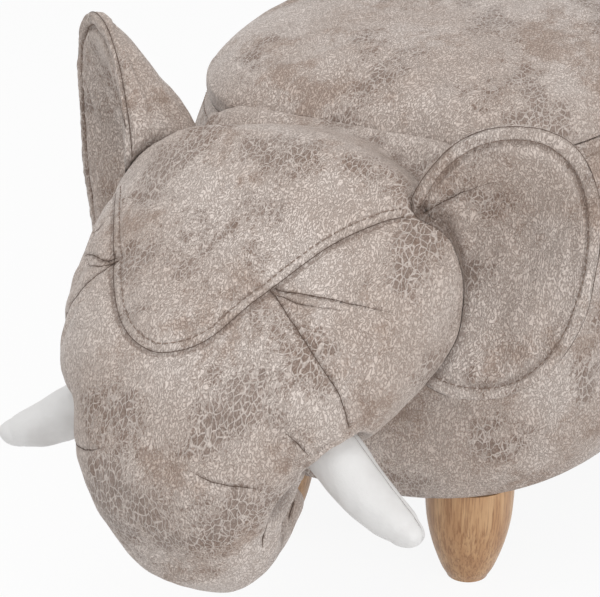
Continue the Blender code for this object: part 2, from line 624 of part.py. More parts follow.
def build_animal():
    """Adds the stuffed pieces, each cut by the larger ones it is sewn to."""
    body = add_mesh("body_clearance", loft(body_rings(COVER_BOTTOM - FIT_GAP, RIM + FIT_GAP, -FIT_GAP)))
    head = add_mesh("head", head_form(), "leather_cloth", ROOT)
    cut(head, body)
    head_clearance = add_mesh("head_clearance", head_form(FIT_GAP))

    trunk = add_mesh("trunk", trunk_form(), "leather_cloth", ROOT)
    cut(trunk, head_clearance)
    trunk_clearance = add_mesh("trunk_clearance", trunk_form(FIT_GAP))

    for name, (side, sweep, spread, rise, setback) in EARS.items():
        ear = add_mesh("ear_" + name, ear_form(side, sweep, spread, rise, setback), "leather_cloth", ROOT)
        cut(ear, head_clearance)
        tusk = add_mesh("tusk_" + name, tusk_form(side), "white_leather_cloth", ROOT)
        cut(tusk, head_clearance)
        cut(tusk, trunk_clearance)

    tail = add_mesh("tail", tail_form(), "leather_cloth", ROOT)
    cut(tail, body)


def centre_on_origin():
    """Moves the whole pouf along Y so that its box is centred over the origin."""
    bpy.context.view_layer.update()
    reach = [(item.matrix_world @ Vector(corner)).y for item in PARTS.objects if item.type == "MESH"
             for corner in item.bound_box]
    ROOT.location.y = -(min(reach) + max(reach)) / 2
    bpy.context.view_layer.update()


def report_sizes():
    """Prints the box, the hinge axis and the triangle counts."""
    graph = bpy.context.evaluated_depsgraph_get()
    low, high = Vector((9, 9, 9)), Vector((-9, -9, -9))
    total = 0
    for item in PARTS.objects:
        if item.type != "MESH":
            continue
        mesh = item.evaluated_get(graph).to_mesh()
        mesh.calc_loop_triangles()
        total += len(mesh.loop_triangles)
        for vertex in mesh.vertices:
            point = item.matrix_world @ vertex.co
            low = Vector(map(min, low, point))
            high = Vector(map(max, high, point))
    print("box", [round(v, 4) for v in low], [round(v, 4) for v in high], "triangles", total)
    print("hinge axis", [round(v, 5) for v in LID.matrix_world.translation])
    print("shift", round(ROOT.location.y, 5))


clear_scene()
PARTS = make_collection("elephant_storage_pouf")
CUTTERS = make_collection("cutters")
FINISH = {name: make_material(name, *values) for name, values in MATERIALS.items()}
ROOT = make_empty("pouf_root", (0, 0, 0))
LID = make_empty("lid_axis", (0, HINGE_Y, HINGE_LEVEL), ROOT)

LEG_PLACES = {"front_left": (LEG_X, -LEG_Y), "front_right": (-LEG_X, -LEG_Y),
              "rear_left": (LEG_X, LEG_Y), "rear_right": (-LEG_X, LEG_Y)}
HINGE_PLACES = {"hinge_left": 0.36 * BOX_HALF_X, "hinge_right": -0.36 * BOX_HALF_X}
SCREW_Y = BOX_HALF_Y - WALL_THICKNESS / 2
WALL_SCREW_X = [x + offset * LEAF_WIDTH for x in HINGE_PLACES.values() for offset in (-0.36, 0.36)]
LID_SCREW_X = [x + offset * LEAF_WIDTH for x in HINGE_PLACES.values() for offset in (-0.18, 0.18)]
LID_SCREW_TIP = LID_BOTTOM - FIT_GAP + SCREW_LENGTH

for leg_name, (leg_x, leg_y) in LEG_PLACES.items():
    build_leg(leg_name, leg_x, leg_y)
build_base()
build_box()
build_padding()
build_lid()
build_hinges()
build_animal()
centre_on_origin()
report_sizes()
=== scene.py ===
"""Looks of the elephant storage pouf.

Soft covers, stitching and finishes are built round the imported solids, in metres and in the same frame:
the head faces -Y, the animal's left is +X, and the feet stand on Z = 0.
"""

import logging
import math
from dataclasses import dataclass, field
from enum import Enum
from functools import cached_property
from typing import Mapping, Sequence, Union

import bmesh
import bpy
import numpy as np
from mathutils import Matrix, Vector, noise
from mathutils.bvhtree import BVHTree
from mathutils.kdtree import KDTree


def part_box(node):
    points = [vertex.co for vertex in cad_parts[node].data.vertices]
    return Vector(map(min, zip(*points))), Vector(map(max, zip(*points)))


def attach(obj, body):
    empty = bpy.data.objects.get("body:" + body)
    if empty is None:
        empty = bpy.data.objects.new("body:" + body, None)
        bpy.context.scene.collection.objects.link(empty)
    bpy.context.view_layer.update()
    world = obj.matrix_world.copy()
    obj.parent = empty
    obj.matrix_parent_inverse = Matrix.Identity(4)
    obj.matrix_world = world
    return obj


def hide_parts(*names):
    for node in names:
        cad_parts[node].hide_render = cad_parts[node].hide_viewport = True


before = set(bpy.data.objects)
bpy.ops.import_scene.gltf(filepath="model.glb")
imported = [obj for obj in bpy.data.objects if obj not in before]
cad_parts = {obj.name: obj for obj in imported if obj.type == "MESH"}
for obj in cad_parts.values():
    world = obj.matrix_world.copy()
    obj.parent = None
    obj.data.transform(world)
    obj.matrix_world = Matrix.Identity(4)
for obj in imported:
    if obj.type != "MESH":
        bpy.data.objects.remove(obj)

Array = np.ndarray
Colour = tuple[float, float, float]
Pixel = tuple[float, float]
Value = Union["Sock", float, tuple]

log = logging.getLogger("pouf")


class Body(Enum):
    """The bodies that pieces ride on."""

    BASE = "base"
    LID = "lid"


class Slot(Enum):
    """The record's material slots."""

    LEATHER = "leather_cloth"
    WHITE_LEATHER = "white_leather_cloth"
    OAK = "oak"
    LINING = "lining_cloth"


def srgb(red: float, green: float, blue: float) -> Colour:
    """Turns a colour of 0 to 255 parts into scene-linear parts."""
    parts = np.array((red, green, blue)) / 255
    linear = np.where(parts <= 0.04045, parts / 12.92, ((parts + 0.055) / 1.055) ** 2.4)
    return tuple(float(part) for part in linear)


def lengths(points: Array) -> Array:
    """Returns the distance of each point from a line's start."""
    return np.concatenate([[0.0], np.cumsum(np.linalg.norm(np.diff(points, axis=0), axis=1))])


def sample(places: Array | float, along: Array, points: Array) -> Array:
    """Reads a line's points at places along it."""
    return np.stack([np.interp(places, along, column) for column in points.T], axis=-1)


def even(points: Array, step: float) -> Array:
    """Spaces the points of a line evenly, about a step apart."""
    along = lengths(points)
    places = np.linspace(0, along[-1], max(int(round(along[-1] / step)), 2) + 1)
    return sample(places, along, points)


def curve_through(guide: Sequence[Sequence[float]], step: float) -> Array:
    """Runs a smooth line through guide points.

    Args:
        guide: Points that the line passes through, in order.
        step: Distance between the points of the line.

    Returns:
        The line's points, evenly spaced.
    """
    knots = np.asarray(guide, float)
    knots = np.vstack([2 * knots[0] - knots[1], knots, 2 * knots[-1] - knots[-2]])
    part = np.linspace(0, 1, 24, endpoint=False)[:, None]
    spans = []
    for a, b, c, d in zip(knots, knots[1:], knots[2:], knots[3:]):
        bend = 2 * a - 5 * b + 4 * c - d + part * (3 * (b - c) + d - a)
        spans.append(b + 0.5 * part * (c - a + part * bend))
    spans.append(knots[-2:-1])
    return even(np.vstack(spans), step)


def signed_power(value: Array, power: float) -> Array:
    """Raises values to a power and keeps their signs."""
    return np.sign(value) * np.abs(value) ** power


def unit(vectors: Array) -> Array:
    """Scales vectors to length one."""
    return vectors / np.maximum(np.linalg.norm(vectors, axis=-1, keepdims=True), 1e-12)


def ramp(values: Array, low: float, high: float) -> Array:
    """Rises smoothly from 0 to 1 between two values."""
    share = np.clip((values - low) / (high - low), 0, 1)
    return share * share * (3 - 2 * share)


def circle(count: int, start: float = 0.0) -> Array:
    """Returns the angles of points round a circle."""
    return 2 * math.pi * (np.arange(count) + start) / count


def closed(ring: Array) -> Array:
    """Ends a ring where it starts."""
    return np.vstack([ring, ring[:1]])


def quads(rows: int, count: int, joined: bool = False) -> list[tuple[int, ...]]:
    """Returns the faces between rings.

    Args:
        rows: How many rings there are.
        count: How many points each ring has.
        joined: Whether the last ring meets the first.

    Returns:
        Four point numbers for each face.
    """
    faces = []
    for first in range(rows - (not joined)):
        low, high = first * count, (first + 1) % rows * count
        for number in range(count):
            after = (number + 1) % count
            faces.append((low + number, low + after, high + after, high + number))
    return faces


def corners(node: str) -> tuple[Array, Array]:
    """Returns the low and the high corner of a solid's box."""
    low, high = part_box(node)
    return np.array(low), np.array(high)


def dents(points: Array, size: float) -> Array:
    """Returns soft noise at points, with features of about a size."""
    return np.array([noise.fractal(Vector(point) / size, 1.0, 2.0, 2) for point in points])


def stand(name: str, data: bpy.types.ID) -> bpy.types.Object:
    """Makes an object of its data and puts it in the scene."""
    item = bpy.data.objects.new(name, data)
    bpy.context.scene.collection.objects.link(item)
    return item


class Sock:
    """One output of a node, which takes part in sums as a number does."""

    def __init__(self, bench: "Bench", socket: bpy.types.NodeSocket) -> None:
        """Keeps the socket and the bench that its node stands on."""
        self.bench = bench
        self.socket = socket

    def __add__(self, other: Value) -> "Sock":
        """Adds a value."""
        return self.bench.math("ADD", self, other)

    __radd__ = __add__

    def __sub__(self, other: Value) -> "Sock":
        """Takes a value away."""
        return self.bench.math("SUBTRACT", self, other)

    def __rsub__(self, other: Value) -> "Sock":
        """Is taken away from a value."""
        return self.bench.math("SUBTRACT", other, self)

    def __mul__(self, other: Value) -> "Sock":
        """Multiplies by a value."""
        return self.bench.math("MULTIPLY", self, other)

    __rmul__ = __mul__

    def __truediv__(self, other: Value) -> "Sock":
        """Divides by a value."""
        return self.bench.math("DIVIDE", self, other)


class Bench:
    """The node tree of one finish or of the sky."""

    def __init__(self, name: str, kind: str = "materials") -> None:
        """Starts an empty tree for a new material or world."""
        self.owner = getattr(bpy.data, kind).new(name)
        self.owner.use_nodes = True
        self.tree = self.owner.node_tree
        self.tree.nodes.clear()

    @cached_property
    def place(self) -> Sock:
        """The place on the object."""
        return self.node("ShaderNodeTexCoord", out="Object")

    def node(self, kind: str, settings: Mapping | None = None, inputs: Mapping | None = None,
             out: str | int = 0) -> Sock:
        """Adds any node.

        Args:
            kind: The node's type.
            settings: Properties to set first.
            inputs: Values or links of its sockets, by name or number.
            out: The output to return.

        Returns:
            The chosen output.
        """
        node = self.tree.nodes.new(kind)
        for key, value in (settings or {}).items():
            setattr(node, key, value)
        for key, value in (inputs or {}).items():
            socket = node.inputs[key]
            if isinstance(value, Sock):
                self.tree.links.new(value.socket, socket)
            elif socket.type == "RGBA":
                socket.default_value = (*value[:3], 1.0)
            else:
                socket.default_value = value
        return Sock(self, node.outputs[out])

    def math(self, operation: str, first: Value, second: Value) -> Sock:
        """Adds a Math node of two values."""
        return self.node("ShaderNodeMath", {"operation": operation}, {0: first, 1: second})

    def vector(self, operation: str, first: Value, second: Value) -> Sock:
        """Adds a Vector Math node of two vectors."""
        return self.node("ShaderNodeVectorMath", {"operation": operation}, {0: first, 1: second})

    def mix(self, share: Value, first: Value, second: Value) -> Sock:
        """Mixes two colours by a share of the second."""
        return self.node("ShaderNodeMix", {"data_type": "RGBA"}, {0: share, 6: first, 7: second}, 2)

    def step(self, value: Value, low: float, high: float) -> Sock:
        """Rises smoothly from 0 to 1 between two values."""
        return self.node("ShaderNodeMapRange", {"interpolation_type": "SMOOTHSTEP"},
                         {"Value": value, "From Min": low, "From Max": high})

    def noise(self, size: float, detail: float = 2.0, rough: float = 0.5, at: Value | None = None) -> Sock:
        """Adds noise whose features are about a size in metres."""
        return self.node("ShaderNodeTexNoise", None, {"Vector": at or self.place, "Scale": 1 / size,
                                                      "Detail": detail, "Roughness": rough})

    def cells(self, size: float, at: Value) -> Sock:
        """Adds the distance to the edges of cells of about a size in metres."""
        return self.node("ShaderNodeTexVoronoi", {"feature": "DISTANCE_TO_EDGE"},
                         {"Vector": at, "Scale": 1 / size})

    def warped(self, size: float, reach: float) -> Sock:
        """Moves the place unevenly, by up to half a reach, over a size in metres."""
        drift = self.node("ShaderNodeTexNoise", None, {"Vector": self.place, "Scale": 1 / size}, "Color")
        drift = self.vector("SUBTRACT", drift, (0.5, 0.5, 0.5))
        return self.vector("ADD", self.place, self.vector("MULTIPLY", drift, (reach,) * 3))

    def stretched(self, scale: Sequence[float]) -> Sock:
        """Scales the place along each axis."""
        return self.vector("MULTIPLY", self.place, tuple(scale))

    def painted(self, name: str) -> Sock:
        """Reads values that were painted on the points of a mesh."""
        return self.node("ShaderNodeAttribute", {"attribute_name": name}, None, "Fac")

    def surface(self, colour: Value, roughness: Value, height: Sock,
                settings: Mapping | None = None) -> bpy.types.Material:
        """Ends the tree in a Principled surface.

        Args:
            colour: Base colour.
            roughness: Roughness.
            height: Height of the surface's relief, in metres.
            settings: Plain values of other sockets.

        Returns:
            The finished material.
        """
        relief = self.node("ShaderNodeBump", None, {"Height": height, "Distance": 1.0, "Strength": 1.0})
        inputs = {"Base Color": colour, "Roughness": roughness, "Normal": relief, **(settings or {})}
        self.end(self.node("ShaderNodeBsdfPrincipled", None, inputs))
        return self.owner

    def end(self, shader: Sock, kind: str = "ShaderNodeOutputMaterial") -> None:
        """Links a shader to the tree's output."""
        output = self.tree.nodes.new(kind)
        self.tree.links.new(shader.socket, output.inputs["Surface"])


@dataclass(frozen=True)
class DistressedLeather:
    """Taupe leather cloth: fine wrinkles, brown rubbed patches and nets of pale cracks."""

    pale: Colour = srgb(219, 207, 199)
    middle: Colour = srgb(202, 187, 177)
    worn: Colour = srgb(156, 131, 114)
    brown: Colour = srgb(108, 84, 69)
    # Colour of the painted shade in creases, seams and recesses.
    crease: Colour = srgb(78, 61, 51)
    wrinkle: float = 0.0013
    fleck: float = 0.0011
    crack: float = 0.0031
    feather: float = 0.0085
    dent: float = 0.007
    cloud: float = 0.090
    patch: float = 0.050
    region: float = 0.060

    def make(self, name: str) -> bpy.types.Material:
        """Builds the material.

        Args:
            name: The material's name.

        Returns:
            The material, which reads two values painted on the points: one that it darkens as painted shade
            in creases, seams and recesses, and relief, which it paints as highlight on bulges and shade in
            hollows.
        """
        bench = Bench(name)
        cloud = bench.noise(self.cloud, 2.0, 0.5)
        lean = bench.vector("MULTIPLY", bench.warped(0.024, 0.010), (1.0, 0.50, 0.42))
        worm = bench.noise(self.wrinkle, 2.0, 0.5, lean)
        gully = 1 - bench.step(bench.math("ABSOLUTE", worm * 2 - 1, 0.0), 0.0, 0.22)
        fleck = bench.noise(self.fleck, 2.0, 0.6)
        drift = bench.vector("MULTIPLY", bench.warped(0.030, 0.016), (1.0, 0.55, 0.75))
        feather = bench.noise(self.feather, 6.0, 0.72, drift) * 0.70 + fleck * 0.30
        area = bench.noise(self.patch, 2.0, 0.5, bench.vector("ADD", bench.place, (0.7, 2.3, 1.1)))
        rubbed = bench.step(area * 0.50 + feather * 0.50, 0.50, 0.60)
        region = bench.noise(self.region, 2.0, 0.5, bench.vector("ADD", bench.place, (3.1, 1.7, 0.4)))
        cracked = bench.step(region * 0.58 + feather * 0.42, 0.520, 0.590)
        drawn = bench.vector("MULTIPLY", bench.warped(0.010, 0.006), (1.0, 0.55, 0.45))
        line = (1 - bench.step(bench.cells(self.crack, drawn), 0.01, 0.11)) * cracked
        relief = bench.painted("relief")
        groove = bench.painted("groove")

        colour = bench.mix(bench.step(cloud, 0.36, 0.62), self.middle, self.pale)
        colour = bench.mix(rubbed * 0.55, colour, self.worn)
        colour = bench.mix(cracked * 0.60, colour, self.brown)
        colour = bench.mix(bench.step(fleck, 0.50, 0.64) * 0.24, colour, self.brown)
        colour = bench.mix(gully * 0.52, colour, self.brown)
        colour = bench.mix(line * 0.78, colour, self.pale)
        # Painted light: bulges lightened, partly as rub wear and partly as painted highlight; hollows
        # darkened as painted shade.
        colour = bench.mix(bench.step(relief, 0.05, 0.9) * 0.25, colour, self.pale)
        colour = bench.mix(bench.step(0 - relief, 0.05, 0.9) * 0.45, colour, self.brown)
        # Painted shade: creases, seams, recesses and the ear's base darkened towards the crease colour.
        colour = bench.mix(groove * 0.70, colour, self.crease)

        dent = bench.noise(self.dent, 3.0, 0.6)
        height = line * 0.00025 - gully * 0.00040 - fleck * 0.00030 + dent * 0.0006
        roughness = 0.42 + 0.14 * rubbed + 0.12 * gully - 0.06 * line
        return bench.surface(colour, roughness, height, {"Specular IOR Level": 0.50})


@dataclass(frozen=True)
class WhiteLeather:
    """Smooth white leather cloth of the tusks."""

    white: Colour = srgb(226, 225, 224)
    shade: Colour = srgb(202, 199, 197)
    # Colour of the painted shade along the seam crease.
    crease: Colour = srgb(150, 146, 142)

    def make(self, name: str) -> bpy.types.Material:
        """Builds the material."""
        bench = Bench(name)
        cloud = bench.noise(0.03, 3.0)
        grain = bench.cells(0.0012, bench.warped(0.003, 0.0012))
        groove = bench.painted("groove")
        colour = bench.mix(bench.step(cloud, 0.45, 0.75) * 0.5, self.white, self.shade)
        # Painted shade along the seam crease.
        colour = bench.mix(groove * 0.5, colour, self.crease)
        height = bench.step(grain, 0.0, 0.3) * 0.00004 + bench.noise(0.006) * 0.0004
        return bench.surface(colour, 0.42 + 0.1 * cloud, height, {"Specular IOR Level": 0.45})


@dataclass(frozen=True)
class TurnedOak:
    """Clear-lacquered oak with its grain upright."""

    pale: Colour = srgb(208, 168, 126)
    middle: Colour = srgb(186, 142, 101)
    dark: Colour = srgb(142, 97, 62)

    def make(self, name: str) -> bpy.types.Material:
        """Builds the material."""
        bench = Bench(name)
        fibre = bench.noise(0.0016, 4.0, 0.6, bench.stretched((1, 1, 0.035)))
        band = bench.noise(0.009, 3.0, 0.55, bench.stretched((1, 1, 0.10)))
        pore = bench.noise(0.0009, 2.0, 0.5, bench.stretched((1, 1, 0.05)))
        ray = bench.noise(0.004, 2.0, 0.5, bench.stretched((1, 1, 0.4)))
        open_pore = bench.step(pore, 0.58, 0.70)
        colour = bench.mix(bench.step(band, 0.36, 0.64), self.middle, self.pale)
        colour = bench.mix(bench.step(fibre, 0.46, 0.62) * 0.60, colour, self.dark)
        colour = bench.mix(open_pore * 0.60, colour, self.dark)
        colour = bench.mix(bench.step(ray, 0.60, 0.72) * 0.25, colour, self.pale)
        height = 0 - open_pore * 0.00010 - fibre * 0.00006
        gloss = {"Specular IOR Level": 0.45, "Coat Weight": 0.15, "Coat Roughness": 0.25}
        return bench.surface(colour, 0.42 + 0.12 * open_pore, height, gloss)


@dataclass(frozen=True)
class Plywood:
    """Birch ply with its grain along the pouf."""

    face: Colour = srgb(214, 184, 142)
    ply: Colour = srgb(165, 124, 84)

    def make(self, name: str) -> bpy.types.Material:
        """Builds the material."""
        bench = Bench(name)
        grain = bench.noise(0.0022, 4.0, 0.6, bench.stretched((1, 0.06, 1)))
        cloud = bench.noise(0.05, 3.0)
        colour = bench.mix(bench.step(grain, 0.45, 0.7) * 0.55, self.face, self.ply)
        colour = bench.mix(bench.step(cloud, 0.5, 0.7) * 0.3, colour, self.ply)
        return bench.surface(colour, 0.6 + 0.1 * grain, grain * 0.0001, {"Specular IOR Level": 0.3})


@dataclass(frozen=True)
class LiningCloth:
    """Plain-woven charcoal cloth inside the box and under the base."""

    dark: Colour = srgb(62, 57, 54)
    light: Colour = srgb(96, 90, 85)
    yarn: float = 0.0009

    def make(self, name: str) -> bpy.types.Material:
        """Builds the material."""
        bench = Bench(name)
        waves = []
        for direction in ("X", "Y", "Z"):
            inputs = {"Vector": bench.place, "Scale": 0.314 / self.yarn, "Distortion": 0.6, "Detail": 1.0}
            waves.append(bench.node("ShaderNodeTexWave", {"bands_direction": direction}, inputs, "Fac"))
        weave = (waves[0] + waves[1] + waves[2]) / 3
        slub = bench.noise(0.006, 4.0, 0.6)
        colour = bench.mix(bench.step(weave * 0.7 + slub * 0.3, 0.3, 0.7), self.dark, self.light)
        gloss = {"Specular IOR Level": 0.2, "Sheen Weight": 0.2}
        return bench.surface(colour, 0.85 + 0.1 * slub, weave * 0.00015, gloss)


@dataclass(frozen=True)
class BrushedSteel:
    """Zinc-plated steel of the hinges, studs and nuts."""

    bright: Colour = srgb(198, 198, 200)
    dull: Colour = srgb(150, 150, 152)

    def make(self, name: str) -> bpy.types.Material:
        """Builds the material."""
        bench = Bench(name)
        brush = bench.noise(0.0004, 2.0, 0.6, bench.stretched((0.06, 1, 1)))
        cloud = bench.noise(0.006, 3.0)
        colour = bench.mix(bench.step(cloud, 0.4, 0.7), self.bright, self.dull)
        return bench.surface(colour, 0.28 + 0.2 * brush, brush * 0.00003, {"Metallic": 1.0})


@dataclass(frozen=True)
class Thread:
    """Twisted sewing thread, or the shadowed line of a seam."""

    colour: Colour
    shade: Colour

    def make(self, name: str) -> bpy.types.Material:
        """Builds the material."""
        bench = Bench(name)
        twist = bench.noise(0.0008, 2.0)
        colour = bench.mix(bench.step(twist, 0.4, 0.65), self.colour, self.shade)
        return bench.surface(colour, 0.7 + 0.1 * twist, twist * 0.0001, {"Specular IOR Level": 0.25})


class Finishes:
    """Every material of the pouf, made once."""

    def __init__(self) -> None:
        """Makes the materials."""
        self.leather = DistressedLeather().make("distressed_leather")
        self.white = WhiteLeather().make("white_leather")
        self.oak = TurnedOak().make("turned_oak")
        self.plywood = Plywood().make("birch_plywood")
        self.lining = LiningCloth().make("lining_cloth")
        self.steel = BrushedSteel().make("brushed_steel")
        self.thread = Thread(srgb(152, 134, 122), srgb(114, 97, 86)).make("taupe_thread")
        self.white_thread = Thread(srgb(205, 202, 199), srgb(165, 160, 156)).make("white_thread")
        self.seam = Thread(srgb(104, 87, 76), srgb(76, 62, 53)).make("seam_shadow")
        self.white_seam = Thread(srgb(166, 161, 157), srgb(130, 125, 121)).make("white_seam_shadow")


@dataclass
class Line:
    """A line on a cover, with the cover's normal at each point."""

    points: Array
    normals: Array

    @property
    def tangents(self) -> Array:
        """Directions along the line."""
        return unit(np.gradient(self.points, axis=0))

    @property
    def along(self) -> Array:
        """Distance of each point from the line's start."""
        return lengths(self.points)

    def nearest(self, points: Array, reach: float) -> tuple[Array, Array]:
        """Finds the line's nearest point to each of many points.

        Args:
            points: The points to look from.
            reach: The furthest distance that counts.

        Returns:
            Numbers of the line's points, or -1 where none is near, and the distances.
        """
        tree = KDTree(len(self.points))
        for number, point in enumerate(self.points):
            tree.insert(point, number)
        tree.balance()
        low, high = self.points.min(0) - reach, self.points.max(0) + reach
        found = np.full(len(points), -1)
        away = np.full(len(points), reach)
        for place in np.flatnonzero(((points > low) & (points < high)).all(1)):
            _, number, distance = tree.find(points[place])
            if distance < reach:
                found[place] = number
                away[place] = distance
        return found, away


@dataclass(frozen=True)
class Crease:
    """How a cover is drawn in along a line.

    Attributes:
        depth: How far it is drawn in at the line.
        width: Distance from the line at which a third of that is left.
        drop: How much lower the cover lies on the line's right, or on its left if negative.
        fade: Lengths over which the line starts and ends.
        pucker: Height of the small gathers beside the line.
        mark: How strongly shade is painted along the line, into the painted shade values.
        shade: How strongly shade is painted on the lowered side, into them too.
    """

    depth: float
    width: float
    drop: float = 0.0
    fade: tuple[float, float] = (0.0, 0.0)
    pucker: float = 0.0
    mark: float = 1.0
    shade: float = 0.0


class SoftPiece:
    """A soft piece of the pouf, with the tools that shape it."""

    FRAMES = 20
    STEP = 0.0015
    SNAP = 0.0009
    EDGE = 0.0024
    MARK = 0.0016
    GATHER = (0.0016, 0.0047)

    def __init__(self, name: str, points: Array, faces: Sequence[Sequence[int]]) -> None:
        """Makes the object from points and faces, with its faces outward."""
        bm = bmesh.new()
        places = [bm.verts.new(point) for point in points]
        for face in faces:
            bm.faces.new([places[number] for number in face])
        bmesh.ops.remove_doubles(bm, verts=bm.verts, dist=1e-5)
        bmesh.ops.recalc_face_normals(bm, faces=bm.faces)
        mesh = bpy.data.meshes.new(name)
        bm.to_mesh(mesh)
        bm.free()
        self.item = stand(name, mesh)
        # Painted shade of creases, seams and hollows, one value for each point.
        self.groove: Array | None = None

    @classmethod
    def from_nodes(cls, name: str, *nodes: str) -> "SoftPiece":
        """Copies solids of the frame into one piece."""
        points: list = []
        faces: list = []
        for node in nodes:
            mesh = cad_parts[node].data
            start = len(points)
            points += [vertex.co[:] for vertex in mesh.vertices]
            faces += [[start + number for number in polygon.vertices] for polygon in mesh.polygons]
        return cls(name, np.array(points), faces)

    @classmethod
    def from_rings(cls, name: str, rings: Sequence[Array], joined: bool = False) -> "SoftPiece":
        """Lofts a closed skin through rings of equal count.

        Args:
            name: The piece's name.
            rings: The rings, in order.
            joined: Whether the last ring meets the first; otherwise both ends are closed to a point.

        Returns:
            The piece.
        """
        count = len(rings[0])
        points = list(np.vstack(rings))
        faces = quads(len(rings), count, joined)
        if not joined:
            for ring in (0, len(rings) - 1):
                points.append(np.mean(rings[ring], axis=0))
                start = ring * count
                for number in range(count):
                    faces.append((start + number, start + (number + 1) % count, len(points) - 1))
        return cls(name, np.array(points), faces)

    @property
    def points(self) -> Array:
        """The mesh's points."""
        return self._read(self.item.data.vertices, "co")

    @points.setter
    def points(self, value: Array) -> None:
        """Moves the mesh's points."""
        self.item.data.vertices.foreach_set("co", value.astype(np.float32).ravel())
        self.item.data.update()

    @property
    def normals(self) -> Array:
        """The normals at the mesh's points."""
        return self._read(self.item.data.vertex_normals, "vector")

    @staticmethod
    def _read(rows: Sequence, key: str) -> Array:
        """Reads vectors out of a mesh's rows."""
        flat = np.empty(len(rows) * 3, np.float32)
        rows.foreach_get(key, flat)
        return flat.reshape(-1, 3).astype(float)

    def mean_of_neighbours(self, values: Array) -> Array:
        """Averages each point's neighbours."""
        edges = self.item.data.edges
        pairs = np.empty(len(edges) * 2, np.int32)
        edges.foreach_get("vertices", pairs)
        pairs = pairs.reshape(-1, 2)
        count = np.maximum(np.bincount(pairs.ravel(), minlength=len(values)), 1)
        columns = []
        for column in values.reshape(len(values), -1).T:
            total = np.bincount(pairs[:, 0], column[pairs[:, 1]], len(values))
            total += np.bincount(pairs[:, 1], column[pairs[:, 0]], len(values))
            columns.append(total / count)
        return np.stack(columns, axis=1).reshape(values.shape)

    def bake(self) -> None:
        """Makes the result of the modifiers the piece's own mesh."""
        graph = bpy.context.evaluated_depsgraph_get()
        mesh = bpy.data.meshes.new_from_object(self.item.evaluated_get(graph))
        worn = self.item.data
        self.item.modifiers.clear()
        self.item.data = mesh
        bpy.data.meshes.remove(worn)
        mesh.name = self.item.name

    def remesh(self, voxel: float) -> None:
        """Rebuilds the skin in even faces of about a voxel's size."""
        modifier = self.item.modifiers.new("remesh", "REMESH")
        modifier.mode = "VOXEL"
        modifier.voxel_size = voxel
        self.bake()

    def add(self, other: "SoftPiece") -> None:
        """Takes another piece's faces into this one."""
        bm = bmesh.new()
        for piece in (self, other):
            bm.from_mesh(piece.item.data)
        bm.to_mesh(self.item.data)
        bm.free()
        bpy.data.objects.remove(other.item)

    def cut(self, place: Vector, outward: Vector) -> None:
        """Cuts the piece off at a plane and closes it there."""
        bm = bmesh.new()
        bm.from_mesh(self.item.data)
        everything = bm.verts[:] + bm.edges[:] + bm.faces[:]
        bmesh.ops.bisect_plane(bm, geom=everything, plane_co=place, plane_no=outward, clear_outer=True)
        bmesh.ops.holes_fill(bm, edges=[edge for edge in bm.edges if edge.is_boundary])
        bmesh.ops.recalc_face_normals(bm, faces=bm.faces)
        bm.to_mesh(self.item.data)
        bm.free()

    def refine(self, levels: int = 1) -> None:
        """Divides every face smoothly."""
        modifier = self.item.modifiers.new("refine", "SUBSURF")
        modifier.levels = levels
        modifier.render_levels = levels
        self.bake()

    def relax(self, rounds: int, held: Array | None = None, back: float = 0.48) -> None:
        """Smooths the skin.

        Args:
            rounds: How many times.
            held: Share by which each point is held still.
            back: Share of each move that is taken back, so that the form keeps its size.
        """
        points = self.points
        free = np.ones(len(points)) if held is None else 1 - held
        for _ in range(rounds):
            for share in (0.5, -back):
                points += share * free[:, None] * (self.mean_of_neighbours(points) - points)
        self.points = points

    def tree(self) -> BVHTree:
        """Returns a search tree of the skin."""
        mesh = self.item.data
        return BVHTree.FromPolygons([vertex.co for vertex in mesh.vertices],
                                    [polygon.vertices for polygon in mesh.polygons])

    def near(self, tree: BVHTree, reach: float) -> Array:
        """Marks the points that lie within reach of another surface."""
        return np.array([tree.find_nearest(point, reach)[0] is not None for point in self.points], float)

    def stuff(self, pressure: float, limit: float, held: Array, ease: float) -> None:
        """Blows the cover up from inside, as its stuffing does, by a cloth simulation.

        Args:
            pressure: Pressure of the stuffing.
            limit: The furthest that a point may move.
            held: Share by which each point is held; points at 1 stay still.
            ease: Share by which the cloth is cut larger than the form.
        """
        scene = bpy.context.scene
        start = self.points
        group = self.item.vertex_groups.new(name="held")
        group.add(np.flatnonzero(held > 0.999).tolist(), 1.0, "REPLACE")
        cloth = self.item.modifiers.new("stuffing", "CLOTH")
        cloth.settings.quality = 5
        cloth.settings.mass = 0.3
        cloth.settings.bending_stiffness = 0.4
        cloth.settings.use_pressure = True
        cloth.settings.uniform_pressure_force = pressure
        cloth.settings.shrink_min = -ease
        cloth.settings.effector_weights.gravity = 0
        cloth.settings.vertex_group_mass = group.name
        cloth.collision_settings.use_collision = False
        cloth.point_cache.frame_end = self.FRAMES
        for number in range(1, self.FRAMES + 1):
            scene.frame_set(number)
        graph = bpy.context.evaluated_depsgraph_get()
        moved = self._read(self.item.evaluated_get(graph).data.vertices, "co") - start
        self.item.modifiers.remove(cloth)
        self.item.vertex_groups.remove(group)
        scene.frame_set(1)
        length = np.linalg.norm(moved, axis=1, keepdims=True)
        self.points = start + moved * np.minimum(1, limit / np.maximum(length, 1e-9)) * (1 - held)[:, None]

    def crumple(self, height: float, size: float, held: Array | None = None) -> None:
        """Adds soft uneven dents of about a size over the cover."""
        points = self.points
        swell = dents(points, size) * height
        if held is not None:
            swell *= 1 - held
        self.points = points + self.normals * swell[:, None]

    def line_from(self, points: Array) -> Line:
        """Lays a line on the nearest places of the cover to points in order."""
        tree = self.tree()
        found = [tree.find_nearest(point) for point in even(points, self.STEP)]
        normals = np.array([hit[1] for hit in found])
        for _ in range(4):
            normals[1:-1] = (normals[:-2] + normals[1:-1] + normals[2:]) / 3
        return Line(np.array([hit[0] for hit in found]), unit(normals))

